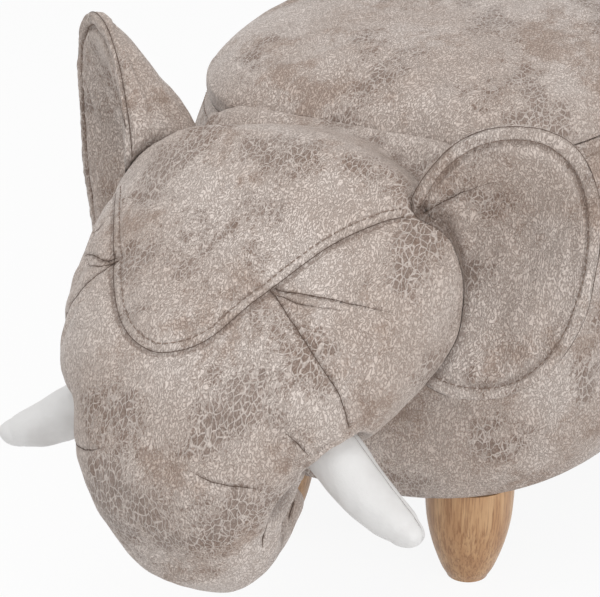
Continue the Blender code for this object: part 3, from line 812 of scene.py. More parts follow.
    def sew(self, line: Line, crease: Crease) -> None:
        """Draws the cover in along a line, as a seam or a crease does, and paints shade along it."""
        points, normals = self.points, self.normals
        if self.groove is None:
            self.groove = np.zeros(len(points))
        width = crease.width
        found, away = line.nearest(points, 7 * width)
        facing = (normals * line.normals[found]).sum(1) > 0.1
        chosen = np.flatnonzero((found >= 0) & facing)
        at, away = found[chosen], away[chosen]
        along = line.along[at]
        weight = np.ones(len(at))
        for length, distance in zip(crease.fade, (along, line.along[-1] - along)):
            if length > 0:
                weight *= np.clip(distance / length, 0, 1)
        offset = line.points[at] - points[chosen]
        sideways = np.cross(line.tangents[at], line.normals[at])
        lowered = (offset * sideways).sum(1) * (crease.drop or 1) < 0
        flat = offset - normals[chosen] * (offset * normals[chosen]).sum(1, keepdims=True)
        close = (away < self.SNAP) & (weight > 0.3)
        points[chosen[close]] += flat[close]
        away = np.where(close, 0.0, away)
        fall = np.exp(-away / width)
        step = lowered * ramp(away, 0, self.EDGE) * np.exp(-away / (3 * width))
        sink = crease.depth * fall + abs(crease.drop) * step
        wave = np.cos(along / self.GATHER[0] + 1.8 * np.sin(along / self.GATHER[1]))
        ripple = wave * np.exp(-away / (2.5 * width)) * (1 - fall)
        points[chosen] -= normals[chosen] * ((sink - crease.pucker * 2 * ripple) * weight)[:, None]
        self.points = points
        # Painted shade along the line and over its lowered side.
        paint = np.maximum(crease.mark * np.exp(-(away / self.MARK) ** 2), crease.shade * step)
        self.groove[chosen] = np.maximum(self.groove[chosen], weight * np.minimum(paint, 1))

    def paint(self, name: str, values: Array) -> None:
        """Stores one value for each point."""
        attribute = self.item.data.attributes.new(name, "FLOAT", "POINT")
        attribute.data.foreach_set("value", values.astype(np.float32))

    def dress(self, material: bpy.types.Material, body: Body, slot: Slot, nodes: Sequence[str],
              fill: float) -> None:
        """Gives the piece its finish and its place in the pouf.

        Args:
            material: Its finish.
            body: The body that it moves with.
            slot: The record's slot for its finish. Not used.
            nodes: Solids that it stands for.
            fill: How tightly it is stuffed, from 0 to 1. Not used.
        """
        points = self.points
        # Bulge of the surface, which the leather paints as highlight on bulges and shade in hollows.
        bulge = ((points - self.mean_of_neighbours(points)) * self.normals).sum(1)
        bulge /= np.maximum(np.abs(bulge).mean(), 1e-9)
        for _ in range(3):
            bulge = 0.5 * bulge + 0.5 * self.mean_of_neighbours(bulge)
        self.paint("relief", np.clip(bulge / 4, -1, 1))
        # Painted shade of creases, seams and hollows, which the leathers darken towards their crease colour.
        self.paint("groove", np.zeros(len(points)) if self.groove is None else self.groove)
        self.item.data.materials.clear()
        self.item.data.materials.append(material)
        self.item.data.shade_smooth()
        settle(self.item, body, slot, nodes)


def settle(item: bpy.types.Object, body: Body, slot: Slot, nodes: Sequence[str] = ()) -> None:
    """Puts a finished object in the pouf and reports it."""
    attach(item, body.value)
    if nodes:
        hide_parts(*nodes)
    log.info("%s: %d faces on %s", item.name, len(item.data.polygons), body.value)


class Needlework:
    """The painted seam shadow lines and the stitches of one sub-assembly."""

    STITCH = 0.0034
    PITCH = 0.0047
    THREAD = 0.00036
    # Radius of the dark tube that is a seam's painted shadow line.
    SEAM = 0.00040
    SIDES = 6

    def __init__(self, name: str, body: Body, slot: Slot, seam: bpy.types.Material,
                 thread: bpy.types.Material) -> None:
        """Starts with no seam shadow lines and no stitches."""
        self.name = name
        self.body = body
        self.slot = slot
        self.finishes = {"seams": seam, "stitches": thread}
        self.rods: dict[str, list[tuple[Array, Array, Array]]] = {"seams": [], "stitches": []}

    def seam(self, line: Line, trim: tuple[float, float] = (0.0, 0.0), share: float = 1.0) -> None:
        """Lays a dark tube in a seam's hollow as its painted shadow line.

        Args:
            line: The seam.
            trim: Lengths at its ends over which it thins out.
            share: Its thickness, as a share of a full seam's.
        """
        along = line.along
        size = np.full(len(along), self.SEAM * share)
        for length, distance in zip(trim, (along, along[-1] - along)):
            if length > 0:
                size *= 0.25 + 0.75 * np.clip(distance / length, 0, 1)
        points = line.points.copy()
        for _ in range(4):
            points[1:-1] = (points[:-2] + 2 * points[1:-1] + points[2:]) / 4
        self.rods["seams"].append((points, line.normals, size))

    def stitch(self, line: Line) -> None:
        """Sews a row of stitches along a line."""
        along = line.along
        part = np.array((-1.0, -0.85, -0.5, 0.0, 0.5, 0.85, 1.0))
        for middle in np.arange(self.PITCH / 2, along[-1] - self.PITCH / 2, self.PITCH):
            places = middle + part * self.STITCH / 2
            points, normals = (sample(places, along, rows) for rows in (line.points, line.normals))
            lift = self.THREAD * (0.9 - 1.6 * part ** 2)
            size = self.THREAD * np.array((0.3, 0.8, 1.0, 1.0, 1.0, 0.8, 0.3))
            self.rods["stitches"].append((points + normals * lift[:, None], normals, size))

    def finish(self) -> None:
        """Makes one mesh of the seam shadow lines and one of the stitches."""
        turn = circle(self.SIDES)[None, :, None]
        for kind, rods in self.rods.items():
            if not rods:
                continue
            points: list[Array] = []
            faces: list[tuple[int, ...]] = []
            start = 0
            for middle, normals, size in rods:
                tangents = unit(np.gradient(middle, axis=0))
                sideways = unit(np.cross(tangents, normals))
                upward = np.cross(sideways, tangents)
                ring = np.cos(turn) * sideways[:, None] + np.sin(turn) * upward[:, None]
                points.append((middle[:, None] + size[:, None, None] * ring).reshape(-1, 3))
                last = start + (len(middle) - 1) * self.SIDES
                for face in quads(len(middle), self.SIDES):
                    faces.append(tuple(start + number for number in face))
                faces.append(tuple(range(start + self.SIDES - 1, start - 1, -1)))
                faces.append(tuple(range(last, last + self.SIDES)))
                start = last + self.SIDES
            mesh = bpy.data.meshes.new(f"{self.name}_{kind}")
            mesh.from_pydata(np.vstack(points).tolist(), [], faces)
            mesh.materials.append(self.finishes[kind])
            mesh.shade_smooth()
            settle(stand(mesh.name, mesh), self.body, self.slot)


@dataclass(frozen=True)
class PhotoView:
    """The photograph's camera: where it stands and what lies behind each pixel."""

    azimuth: float = math.radians(28)
    elevation: float = math.radians(24)
    distance: float = 1.7
    focal: float = 2380.0
    width: float = 600.0
    middle: Pixel = (300.0, 298.0)
    aim: tuple[float, float, float] = (-0.0640, -0.0285, 0.1788)
    sensor: float = 36.0
    leap: float = 0.008

    @property
    def axes(self) -> tuple[Array, Array, Array]:
        """Directions to the camera's right, up and back."""
        a, e = self.azimuth, self.elevation
        back = np.array((math.sin(a) * math.cos(e), -math.cos(a) * math.cos(e), math.sin(e)))
        right = np.array((math.cos(a), math.sin(a), 0.0))
        return right, np.cross(back, right), back

    @property
    def eye(self) -> Array:
        """Where the camera stands."""
        return np.array(self.aim) + self.axes[2] * self.distance

    def cast(self, piece: SoftPiece, pixels: Sequence[Pixel], mirrored: bool = False,
             aside: float = 0.0) -> Line:
        """Lays a line that is seen in the photograph on a cover.

        Args:
            piece: The cover.
            pixels: Places of the line in the photograph.
            mirrored: Whether to lay it on the side that the photograph hides.
            aside: How much further out it lies there.

        Returns:
            The line on the cover, or its longest stretch where it passes from one form to another.
        """
        right, up, back = self.axes
        tree = piece.tree()
        hits = []
        for x, y in curve_through(pixels, 2.0):
            ray = right * (x - self.middle[0]) / self.focal - up * (y - self.middle[1]) / self.focal - back
            place = tree.ray_cast(self.eye, ray)[0]
            if place is not None:
                hits.append(place)
        points = np.array(hits)
        breaks = np.flatnonzero(np.linalg.norm(np.diff(points, axis=0), axis=1) > self.leap) + 1
        points = max(np.split(points, breaks), key=len)
        if mirrored:
            points = points[::-1] * np.array((-1, 1, 1)) - np.array((aside, 0, 0))
        return piece.line_from(points)

    def place_camera(self) -> None:
        """Makes the scene's camera."""
        data = bpy.data.cameras.new("photo_camera")
        data.sensor_width = self.sensor
        data.lens = self.focal * self.sensor / self.width
        data.clip_end = 50
        camera = stand("photo_camera", data)
        right, up, back = self.axes
        turn = Matrix((right, up, back)).transposed().to_4x4()
        camera.matrix_world = Matrix.Translation(Vector(self.eye)) @ turn
        bpy.context.scene.camera = camera


@dataclass
class Head:
    """The stuffed head and trunk under one sewn cover."""

    view: PhotoView
    finishes: Finishes
    lid: "Lid"
    tusks: Sequence["Tusk"]
    voxel: float = 0.0045
    swell: float = 0.0035
    aside: float = 0.030
    pocket_reach: float = 0.020
    pocket_depth: float = 0.006
    pocket_shade: float = 0.85
    roll_depth: float = 0.014
    roll_reach: float = 1.2
    wing_depth: float = 0.046
    wing_drop: float = 0.030
    overlap: float = 0.006
    gap: float = 0.0008
    piece: SoftPiece = field(init=False)

    FOREHEAD = ((140, 143), (125, 165), (115, 190), (112, 230), (113, 290), (122, 325), (140, 345),
                (165, 352), (205, 340), (250, 303), (272, 287), (330, 245), (380, 222), (405, 216))
    CHEEK = ((272, 288), (295, 325), (318, 360), (340, 395), (350, 426))
    DART = ((275, 288), (330, 298), (396, 313))
    LOW_DART = ((278, 292), (300, 302), (346, 310))
    MOUTH = ((285, 432), (298, 445), (311, 457))
    LIP_FOLD = ((313, 456), (326, 449), (339, 439))
    WRINKLE = ((190, 470), (215, 483), (262, 490))
    TRUNK_EDGE = ((262, 547), (268, 530), (285, 500), (300, 481))
    TIP = ((294, 488), (295, 500), (289, 520))
    POCKET = ((280, 514), (286, 506), (290, 498))
    EAR_DARTS = (((107, 210), (94, 205)), ((106, 220), (92, 233)))

    PANEL_SEAM = Crease(0.0011, 0.0032, drop=0.0012, pucker=0.00006, mark=0.55)
    CHEEK_SEAM = Crease(0.0011, 0.0036, pucker=0.00006, mark=0.5)
    NEAR_TUCK = Crease(0.0018, 0.0045, fade=(0.0, 0.03), mark=0.5)
    FAR_TUCK = Crease(0.0018, 0.0045, fade=(0.03, 0.0), mark=0.5)
    SMALL_FOLD = Crease(0.0014, 0.0032, fade=(0.010, 0.010), mark=0.4)
    LIP = Crease(0.0030, 0.0045, fade=(0.004, 0.008), mark=0.3)
    EDGE = Crease(0.0018, 0.0036, fade=(0.008, 0.006), mark=0.6)
    TIP_FOLD = Crease(0.0012, 0.0026, fade=(0.004, 0.004), mark=0.7)
    ROW = Crease(0.0005, 0.0014, mark=0.15)
    ROW_INSET = 0.0058

    def build(self) -> None:
        """Builds the cover and sews it."""
        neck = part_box("head")[1].y
        piece = SoftPiece.from_nodes("head_cover", "head", "trunk")
        self.piece = piece
        piece.add(self.neck_roll(neck))
        piece.remesh(self.voxel)
        body = SoftPiece.from_nodes("body_probe", "body_cover")
        touching = piece.near(body.tree(), 0.006)
        bpy.data.objects.remove(body.item)
        piece.relax(14, np.maximum(touching, piece.points[:, 1] > neck))
        piece.relax(6, touching, 0.3)
        held = np.maximum(touching, ramp(piece.points[:, 1], neck - 0.045, neck - 0.006))
        for line in self.lines():
            found, _ = line.nearest(piece.points, 0.004)
            held = np.maximum(held, found >= 0)
        piece.stuff(3.0, self.swell, held, 0.015)
        piece.relax(3, touching)
        piece.refine(2)
        piece.cut(Vector((0, neck + self.gap, 0)), Vector((0, 1, 0)))
        piece.crumple(0.0011, 0.030, ramp(piece.points[:, 1], neck - 0.030, neck - 0.004))
        for tusk in self.tusks:
            tusk.press(piece)
        self.sew()
        piece.dress(self.finishes.leather, Body.BASE, Slot.LEATHER, ("head", "trunk"), fill=0.85)

    def neck_roll(self, neck: float) -> SoftPiece:
        """Returns the roll of cover that fills the neck up to the lid's front edge.

        Args:
            neck: Where the flat back of the head lies, along Y.
        """
        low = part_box("body_cover")[1].z + self.gap
        edge, half = self.lid.edge_top, self.roll_reach * self.lid.front_half
        rings = []
        for share in np.linspace(-1, 1, 41):
            wing = float(ramp(np.abs(share), 0.45, 0.85))
            deep = self.roll_depth + (self.wing_depth - self.roll_depth) * wing
            top = edge - (edge - low - 0.005) * float(ramp(np.abs(share), 0.72, 1.0))
            section = ((neck + self.overlap, low), (neck + self.overlap, top),
                       (neck - 0.25 * self.roll_depth, top), (neck - deep, low - self.wing_drop * wing))
            rings.append(np.array([(share * half, y, z) for y, z in section]))
        return SoftPiece.from_rings("neck_roll", rings)

    def press_pocket(self, mirrored: bool) -> None:
        """Presses in the pocket beside the trunk's curl and shades it."""
        line = self.view.cast(self.piece, self.POCKET, mirrored)
        middle = len(line.points) // 2
        points = self.piece.points
        away = np.linalg.norm(points - line.points[middle], axis=1)
        weight = (1 - np.clip(away / self.pocket_reach, 0, 1) ** 2) ** 2
        self.piece.points = points - np.outer(weight * self.pocket_depth, line.normals[middle])
        # Painted shade in the pocket.
        self.piece.groove = np.maximum(self.piece.groove, self.pocket_shade * weight)

    def both(self, *rows: Sequence[Pixel], aside: float = 0.0) -> list[Line]:
        """Lays lines on the side that the photograph shows and then on the other."""
        return [self.view.cast(self.piece, pixels, mirrored, aside)
                for mirrored in (False, True) for pixels in rows]

    def lines(self) -> list[Line]:
        """Lays the panel seam lines on the cover."""
        return [self.view.cast(self.piece, self.FOREHEAD), *self.both(self.CHEEK, aside=self.aside),
                *self.both(self.TRUNK_EDGE)]

    def sew(self) -> None:
        """Sews the panel seam lines, the darts and the creases, lays dark tubes in them as painted shadow
        lines, and stitches a row inside the forehead seam.
        """
        piece, cast = self.piece, self.view.cast
        work = Needlework("head", Body.BASE, Slot.LEATHER, self.finishes.seam, self.finishes.thread)
        forehead = cast(piece, self.FOREHEAD)
        piece.sew(forehead, self.PANEL_SEAM)
        cheeks = self.both(self.CHEEK, aside=self.aside)
        for line in cheeks:
            piece.sew(line, self.CHEEK_SEAM)
        darts = self.both(self.DART, self.LOW_DART, aside=self.aside)
        for line, tuck in zip(darts, (self.NEAR_TUCK, self.NEAR_TUCK, self.FAR_TUCK, self.FAR_TUCK)):
            piece.sew(line, tuck)
        creases = self.both(self.MOUTH, self.WRINKLE) + [cast(piece, pixels) for pixels in self.EAR_DARTS]
        for line in creases:
            piece.sew(line, self.SMALL_FOLD)
        for mirrored in (False, True):
            piece.sew(cast(piece, self.LIP_FOLD, mirrored), self.LIP)
        edges, tips = self.both(self.TRUNK_EDGE), self.both(self.TIP)
        for mirrored in (False, True):
            self.press_pocket(mirrored)
        for line in edges:
            piece.sew(line, self.EDGE)
        for line in tips:
            piece.sew(line, self.TIP_FOLD)
        shadow_lines = (([forehead], (0.0, 0.0), 0.6), (cheeks + edges, (0.0, 0.0), 0.75),
                   (tips, (0.004, 0.01), 0.7), (creases, (0.012, 0.012), 0.55),
                   (darts[:2], (0.0, 0.05), 0.7), (darts[2:], (0.05, 0.0), 0.7))
        for lines, trim, share in shadow_lines:
            for line in lines:
                work.seam(piece.line_from(line.points), trim, share)
        inside = np.cross(forehead.normals, forehead.tangents)
        row = piece.line_from(forehead.points + inside * self.ROW_INSET)
        piece.sew(row, self.ROW)
        work.stitch(piece.line_from(row.points))
        work.finish()


@dataclass
class Ear:
    """One padded ear, cupped to the front and thick where it meets the head."""

    name: str
    side: int
    sweep: float
    finishes: Finishes
    width: float = 0.125
    height: float = 0.184
    thickness: float = 0.034
    cup: float = 0.25
    wedge: float = 2.2
    power: float = 2.3
    lean: float = math.radians(6)
    border: float = 0.0088
    gap: float = 0.0005
    base_shade: float = 0.8
    lift: float = 0.0
    steps: int = 150

    BACK = ((62.0, -0.52), (45.0, -0.51), (30.0, -0.49), (16.0, -0.41), (8.0, -0.30), (3.0, -0.15),
            (0.9, -0.02))
    FRONT = ((0.0, 0.03), (0.9, 0.07), (2.6, 0.15), (5.0, 0.185), (7.2, 0.165), (8.8, 0.115), (10.8, 0.15),
             (16.0, 0.15), (22.0, 0.09), (32.0, -0.03), (45.0, -0.14), (62.0, -0.20))
    DART = ((-0.81, 0.385), (-0.5, 0.445), (-0.10, 0.556))
    DART_FOLD = Crease(0.0028, 0.0055, fade=(0.0, 0.03), mark=0.8)
    RIM_SEAM = Crease(0.0002, 0.0014, pucker=0.00008, mark=0.6)

    def ring(self, inset: float, offset: float) -> Array:
        """Returns one ring of the ear, in its own place before it is set on the head.

        Args:
            inset: Distance from the rim.
            offset: Distance from the middle sheet, as a share of the thickness.
        """
        turn = circle(self.steps)
        half_u, half_v = self.width / 2, self.height / 2
        small = max(half_u - inset, 0.002) / half_u
        tall = max(half_v - inset * (1 + 0.45 * inset / half_u), 0.002)
        u = (half_u * small) * signed_power(np.cos(turn), 2 / self.power)
        v = tall * signed_power(np.sin(turn), 2 / self.power)
        extra = 0.0
        if offset < 0:
            extra = self.wedge * (0.5 - u / self.width) * np.minimum(1, 1 - 2 * v / self.height)
        depth = self.thickness * (offset * (1 + extra) + self.cup * small ** 2) * np.ones(self.steps)
        outward, upward, forward = self.axes
        return u[:, None] * outward + v[:, None] * upward + np.multiply.outer(depth, forward)

    @property
    def axes(self) -> tuple[Array, Array, Array]:
        """Directions out along the ear, up it and out of its front."""
        outward = np.array((self.side * math.cos(self.sweep), math.sin(self.sweep), 0.0))
        forward = np.array((self.side * math.sin(self.sweep), -math.cos(self.sweep), 0.0))
        upward = np.array((0.0, 0.0, math.cos(self.lean))) + outward * math.sin(self.lean)
        return outward, upward, forward

    def seat(self, piece: SoftPiece, tree: BVHTree) -> None:
        """Slides the points that lie inside the head out along the ear, to the head's surface."""
        outward = self.axes[0]
        points = piece.points
        for number, point in enumerate(points):
            place, normal, _, _ = tree.find_nearest(point)
            if (Vector(point) - place).dot(normal) < self.gap:
                hit = tree.ray_cast(point + outward * self.width, -outward, 1.2 * self.width)[0]
                if hit is not None:
                    points[number] = np.array(hit) + outward * self.gap
        piece.points = points

    @staticmethod
    def sections(pairs: Sequence[tuple[float, float]]) -> list[tuple[float, float]]:
        """Turns a profile of inset in millimetres and offset into evenly spaced insets and offsets."""
        scaled = [(inset / 10, offset * 10) for inset, offset in pairs]
        return [(inset * 0.01, offset / 10) for inset, offset in curve_through(scaled, 0.22)]

    def build(self, head: SoftPiece) -> None:
        """Builds the ear against the head, sews its rim and dresses it."""
        node = f"ear_{self.name}"
        back, front = self.sections(self.BACK), self.sections(self.FRONT)
        rings = [self.ring(*section) for section in back + front]
        solid = np.array([vertex.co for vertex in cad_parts[node].data.vertices])
        every = np.vstack(rings)
        shift = solid[np.argmax(self.side * solid[:, 0])] - every[np.argmax(self.side * every[:, 0])]
        shift[2] = solid[:, 2].max() - every[:, 2].max() + self.lift
        piece = SoftPiece.from_rings(node + "_cover", [ring + shift for ring in rings])
        valley = int(np.argmin([abs(inset - self.border) for inset, _ in front])) + len(back)
        rim, row = (piece.line_from(closed(rings[number]) + shift) for number in (len(back), valley))
        tree = head.tree()
        held = piece.near(tree, 0.008)
        for line in (rim, row):
            found, _ = line.nearest(piece.points, 0.0025)
            held = np.maximum(held, found >= 0)
        piece.stuff(2.0, 0.0025, held, 0.02)
        piece.relax(1)
        piece.crumple(0.0009, 0.028)
        outward, upward, forward = self.axes
        dart = piece.line_from(np.array([outward * u * self.width / 2 + upward * v * self.height / 2
                                         + forward * self.thickness / 4 + shift for u, v in self.DART]))
        piece.sew(dart, self.DART_FOLD)
        piece.sew(row, Crease(0.0007, 0.0020, -self.side * 0.0012, pucker=0.00012, mark=0.25, shade=0.12))
        piece.sew(rim, self.RIM_SEAM)
        self.seat(piece, tree)
        # Painted shade where the ear meets the head.
        away = np.array([tree.find_nearest(point)[3] for point in piece.points])
        piece.groove = np.maximum(piece.groove, self.base_shade * (1 - ramp(away, 0.001, 0.009)))
        work = Needlework(node, Body.BASE, Slot.LEATHER, self.finishes.seam, self.finishes.thread)
        # Dark tubes along the rim and the dart as painted shadow lines, then stitches along the row.
        work.seam(piece.line_from(self.outside(rim, tree)), share=0.7)
        work.seam(piece.line_from(self.outside(dart, tree, False)), (0.0, 0.03), 0.8)
        work.stitch(piece.line_from(self.outside(row, tree)))
        work.finish()
        piece.dress(self.finishes.leather, Body.BASE, Slot.LEATHER, (node,), fill=0.7)

    @staticmethod
    def outside(line: Line, tree: BVHTree, closed: bool = True) -> Array:
        """Returns the stretch of a line that stands clear of the head, as an open line.

        Args:
            line: The line.
            tree: The head's surface.
            closed: Whether the line ends where it starts.
        """
        clear = []
        for point in line.points:
            place, normal, _, _ = tree.find_nearest(point)
            clear.append((Vector(point) - place).dot(normal) > 0.002)
        clear = np.array(clear)
        if clear.all():
            return line.points
        if not closed:
            return line.points[clear]
        start = int(np.flatnonzero(~clear)[-1]) + 1
        order = np.roll(np.arange(len(clear)), -start)
        return line.points[order][clear[order]]


@dataclass
class Tusk:
    """One stuffed white tusk, curved up a little towards its tip."""

    name: str
    side: int
    finishes: Finishes
    length: float = 0.123
    radius: float = 0.0178
    sag: float = 0.0105
    direction: tuple[float, float, float] = (0.80, -0.19, -0.565)
    gap: float = 0.0005
    socket: float = 0.013
    steps: int = 72

    STATIONS = ((0.0, 1.0), (0.3, 1.0), (0.55, 0.94), (0.78, 0.76), (0.90, 0.58), (0.96, 0.43), (0.99, 0.26),
                (1.0, 0.08))
    SEAM = Crease(0.0004, 0.0010, mark=0.25)
    SEATED = 0.6
    CAP = (0.75, 0.5, 0.25)

    def rings(self) -> Array:
        """Returns rings along the tusk, from a root at the origin."""
        along = unit(np.array(self.direction) * np.array((self.side, 1, 1)))
        across = unit(np.cross(along, (0, 0, 1)))
        over = np.cross(along, across)
        turn = circle(self.steps)
        rings = []
        for share, size in curve_through(self.STATIONS, 0.018):
            middle = along * share * self.length - np.array((0, 0, 4 * share * (1 - share) * self.sag))
            crease = 1 - 0.03 * math.exp(-((share - 0.88) / 0.014) ** 2)
            reach = size * self.radius * crease
            rings.append(middle + reach * (np.cos(turn)[:, None] * across + np.sin(turn)[:, None] * over))
        return np.array(rings)

    def root(self, path: Array, tree: BVHTree) -> float:
        """Finds where a line along the tusk meets the head.

        Args:
            path: Points of the line, from inside the head to the tip.
            tree: The head's surface.

        Returns:
            The place on the line, counted in its points.
        """
        for number in range(int(self.SEATED * len(path)), 0, -1):
            step = path[number - 1] - path[number]
            length = float(np.linalg.norm(step))
            distance = tree.ray_cast(path[number], step, length)[3]
            if distance is not None:
                return number - (distance - self.gap) / length
        return 0.0

    def seated(self, rings: Array, tree: BVHTree) -> list[Array]:
        """Ends the rings on the head's surface and closes the root against it."""
        count = np.arange(len(rings))
        middles = rings.mean(axis=1, keepdims=True)
        columns = []
        for path in rings.transpose(1, 0, 2):
            start = self.root(path, tree)
            places = start + (count[-1] - start) * count / count[-1]
            columns.append(sample(places, count, path))
        cap = []
        for size in self.CAP[::-1]:
            paths = (middles + size * (rings - middles)).transpose(1, 0, 2)
            starts = [self.root(path, tree) for path in paths]
            cap.append(np.array([sample(start, count, path) for path, start in zip(paths, starts)]))
        return cap + list(np.stack(columns, axis=1))

    def placed(self) -> Array:
        """Returns the rings where the tusk's solid lies."""
        rings = self.rings()
        low, high = corners(f"tusk_{self.name}")
        every = rings.reshape(-1, 3)
        end = high[0] - every.max(0)[0] if self.side > 0 else low[0] - every.min(0)[0]
        return rings + np.array((end, low[1] - every.min(0)[1], low[2] - every.min(0)[2]))

    def press(self, head: SoftPiece) -> None:
        """Presses a socket for the tusk's root into the head."""
        path = self.placed().mean(axis=1)
        count = np.arange(len(path))
        start = self.root(path, head.tree())
        entry = sample(start, count, path)
        inward = unit(path[0] - path[len(path) // 2])
        points = head.points
        offset = points - entry
        along = offset @ inward
        away = np.linalg.norm(offset - np.outer(along, inward), axis=1)
        weight = 1 - ramp(away, 0.8 * self.radius, 1.5 * self.radius)
        weight *= 1 - ramp(np.abs(along), 1.1 * self.radius, 2.4 * self.radius)
        head.points = points + np.outer(weight * self.socket, inward)

    def build(self, head: SoftPiece) -> None:
        """Builds the tusk against the head, sews its upper edge and dresses it."""
        node = f"tusk_{self.name}"
        rings = self.seated(self.placed(), head.tree())
        piece = SoftPiece.from_rings(node + "_cover", rings)
        shut = piece.near(head.tree(), 0.003)
        piece.crumple(0.0009, 0.020, shut)
        top = 3 * self.steps // 4 - self.side * self.steps // 18
        seam = piece.line_from(np.array([ring[top] for ring in rings[len(self.CAP):-4]]))
        piece.sew(seam, self.SEAM)
        work = Needlework(node, Body.BASE, Slot.WHITE_LEATHER, self.finishes.white_seam,
                          self.finishes.white_thread)
        # Dark tube along the seam as its painted shadow line.
        work.seam(piece.line_from(seam.points), (0.004, 0.010), 0.5)
        work.finish()
        piece.dress(self.finishes.white, Body.BASE, Slot.WHITE_LEATHER, (node,), fill=0.95)


@dataclass
class Shell:
    """The padded body round the box, under its leather cover."""

    finishes: Finishes
    draw_in: float = 0.030
    power: float = 2.6
    cover: float = 0.0012
    gap: float = 0.0003
    turn_in: float = 0.014
    quarter: int = 30

    PROFILE = ((0.00, 0.86), (0.012, 0.66), (0.03, 0.52), (0.10, 0.28), (0.22, 0.10), (0.48, 0.00),
               (0.72, 0.07), (0.88, 0.27), (0.97, 0.47), (1.00, 0.58))
    ROW = Crease(0.0005, 0.0022, pucker=0.0001, mark=0.3)
    PADDING = ("body_cover", "front_padding", "rear_padding", "left_padding", "right_padding")

    def __post_init__(self) -> None:
        """Takes its sizes from the frame."""
        low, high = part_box("body_cover")
        self.half = np.array((high.x - low.x, high.y - low.y)) / 2
        self.middle = (low.y + high.y) / 2
        self.bottom, self.rim = low.z, high.z
        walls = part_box("front_wall"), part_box("rear_wall")
        self.box = np.array((walls[0][1].x, walls[1][1].y - self.middle)) + self.gap
        self.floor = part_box("base_board")[1].z + self.gap

    def directions(self) -> Array:
        """Returns directions round the plan, one of them at each corner of the box."""
        corner = math.atan2(self.box[1], self.box[0])
        share = np.arange(self.quarter) / self.quarter
        first = np.concatenate([corner * share, corner + (math.pi / 2 - corner) * share])
        second = np.concatenate([[math.pi / 2], math.pi - first[:0:-1]])
        half = np.concatenate([first, second])
        return np.concatenate([half, half + math.pi])

    def ring(self, inset: float, level: float) -> Array:
        """Returns the rounded plan ring at an inset and a level."""
        turn = self.directions()
        half = self.half - inset
        across, along = np.cos(turn), np.sin(turn)
        spread = np.abs(across / half[0]) ** self.power + np.abs(along / half[1]) ** self.power
        return self.plan(turn, spread ** (-1 / self.power), level)

    def plan(self, turn: Array, reach: Array, level: float) -> Array:
        """Returns points at a level, in directions round the middle and at a reach in each."""
        return np.stack([reach * np.cos(turn), reach * np.sin(turn) + self.middle,
                         np.full(len(turn), level)], axis=1)

    def box_ring(self, level: float, share: float = 0.0) -> Array:
        """Returns the ring round the box at a level, part of the way to the rim's ring."""
        turn = self.directions()
        reach = 1 / np.maximum(np.abs(np.cos(turn)) / self.box[0], np.abs(np.sin(turn)) / self.box[1])
        ring = self.plan(turn, reach, level)
        return ring + share * (self.ring(self.PROFILE[-1][1] * self.draw_in, level) - ring)

    def build(self) -> None:
        """Builds the shell, sews the line below the rim and dresses it."""
        height = self.rim - self.bottom
        outer = [(share * height, drawn * self.draw_in) for share, drawn in self.PROFILE]
        rings = [self.box_ring(self.rim, share) for share in (*np.linspace(0, 0.97, 10), 0.992)]
        side = [self.ring(inset, self.bottom + level) for level, inset in curve_through(outer, 0.005)[::-1]]
        side.insert(1, 0.85 * side[0] + 0.15 * side[1])
        rings += side
        under = self.draw_in + self.turn_in
        rings += [self.ring(under, self.bottom), self.ring(under, self.bottom + self.cover)]
        base = [(level, inset) for level, inset in curve_through(outer, 0.004)
                if self.cover < level < self.floor - self.bottom]
        rings += [self.ring(inset + self.cover, self.bottom + level) for level, inset in base]
        rings.append(self.ring(base[-1][1] + self.cover, self.floor))
        rings += [self.box_ring(self.floor), self.box_ring(self.rim - self.cover)]
        piece = SoftPiece.from_rings("body_shell", rings, joined=True)
        points = piece.points
        skin = [Vector(point) for point in np.vstack(side)]
        tree = BVHTree.FromPolygons(skin, quads(len(side), len(side[0])))
        inner = 1 - piece.near(tree, 0.0002)
        held = np.maximum(inner, 1 - ramp(points[:, 2], self.bottom + 0.004, self.bottom + 0.030))
        held = np.maximum(held, ramp(points[:, 2], self.rim - 0.040, self.rim - 0.003))
        head = SoftPiece.from_nodes("head_probe", "head", "ear_left", "ear_right", "tail")
        held = np.maximum(held, piece.near(head.tree(), 0.012))
        bpy.data.objects.remove(head.item)
        piece.stuff(1.2, 0.004, held, 0.01)
        piece.crumple(0.0016, 0.055, held)
        piece.refine()
        piece.groove = np.zeros(len(piece.points))
        row = piece.line_from(closed(self.ring(0.40 * self.draw_in, self.rim - 0.0075)))
        piece.sew(row, self.ROW)
        work = Needlework("body", Body.BASE, Slot.LEATHER, self.finishes.seam, self.finishes.thread)
        work.stitch(piece.line_from(row.points))
        work.finish()
        piece.dress(self.finishes.leather, Body.BASE, Slot.LEATHER, self.PADDING, fill=0.8)


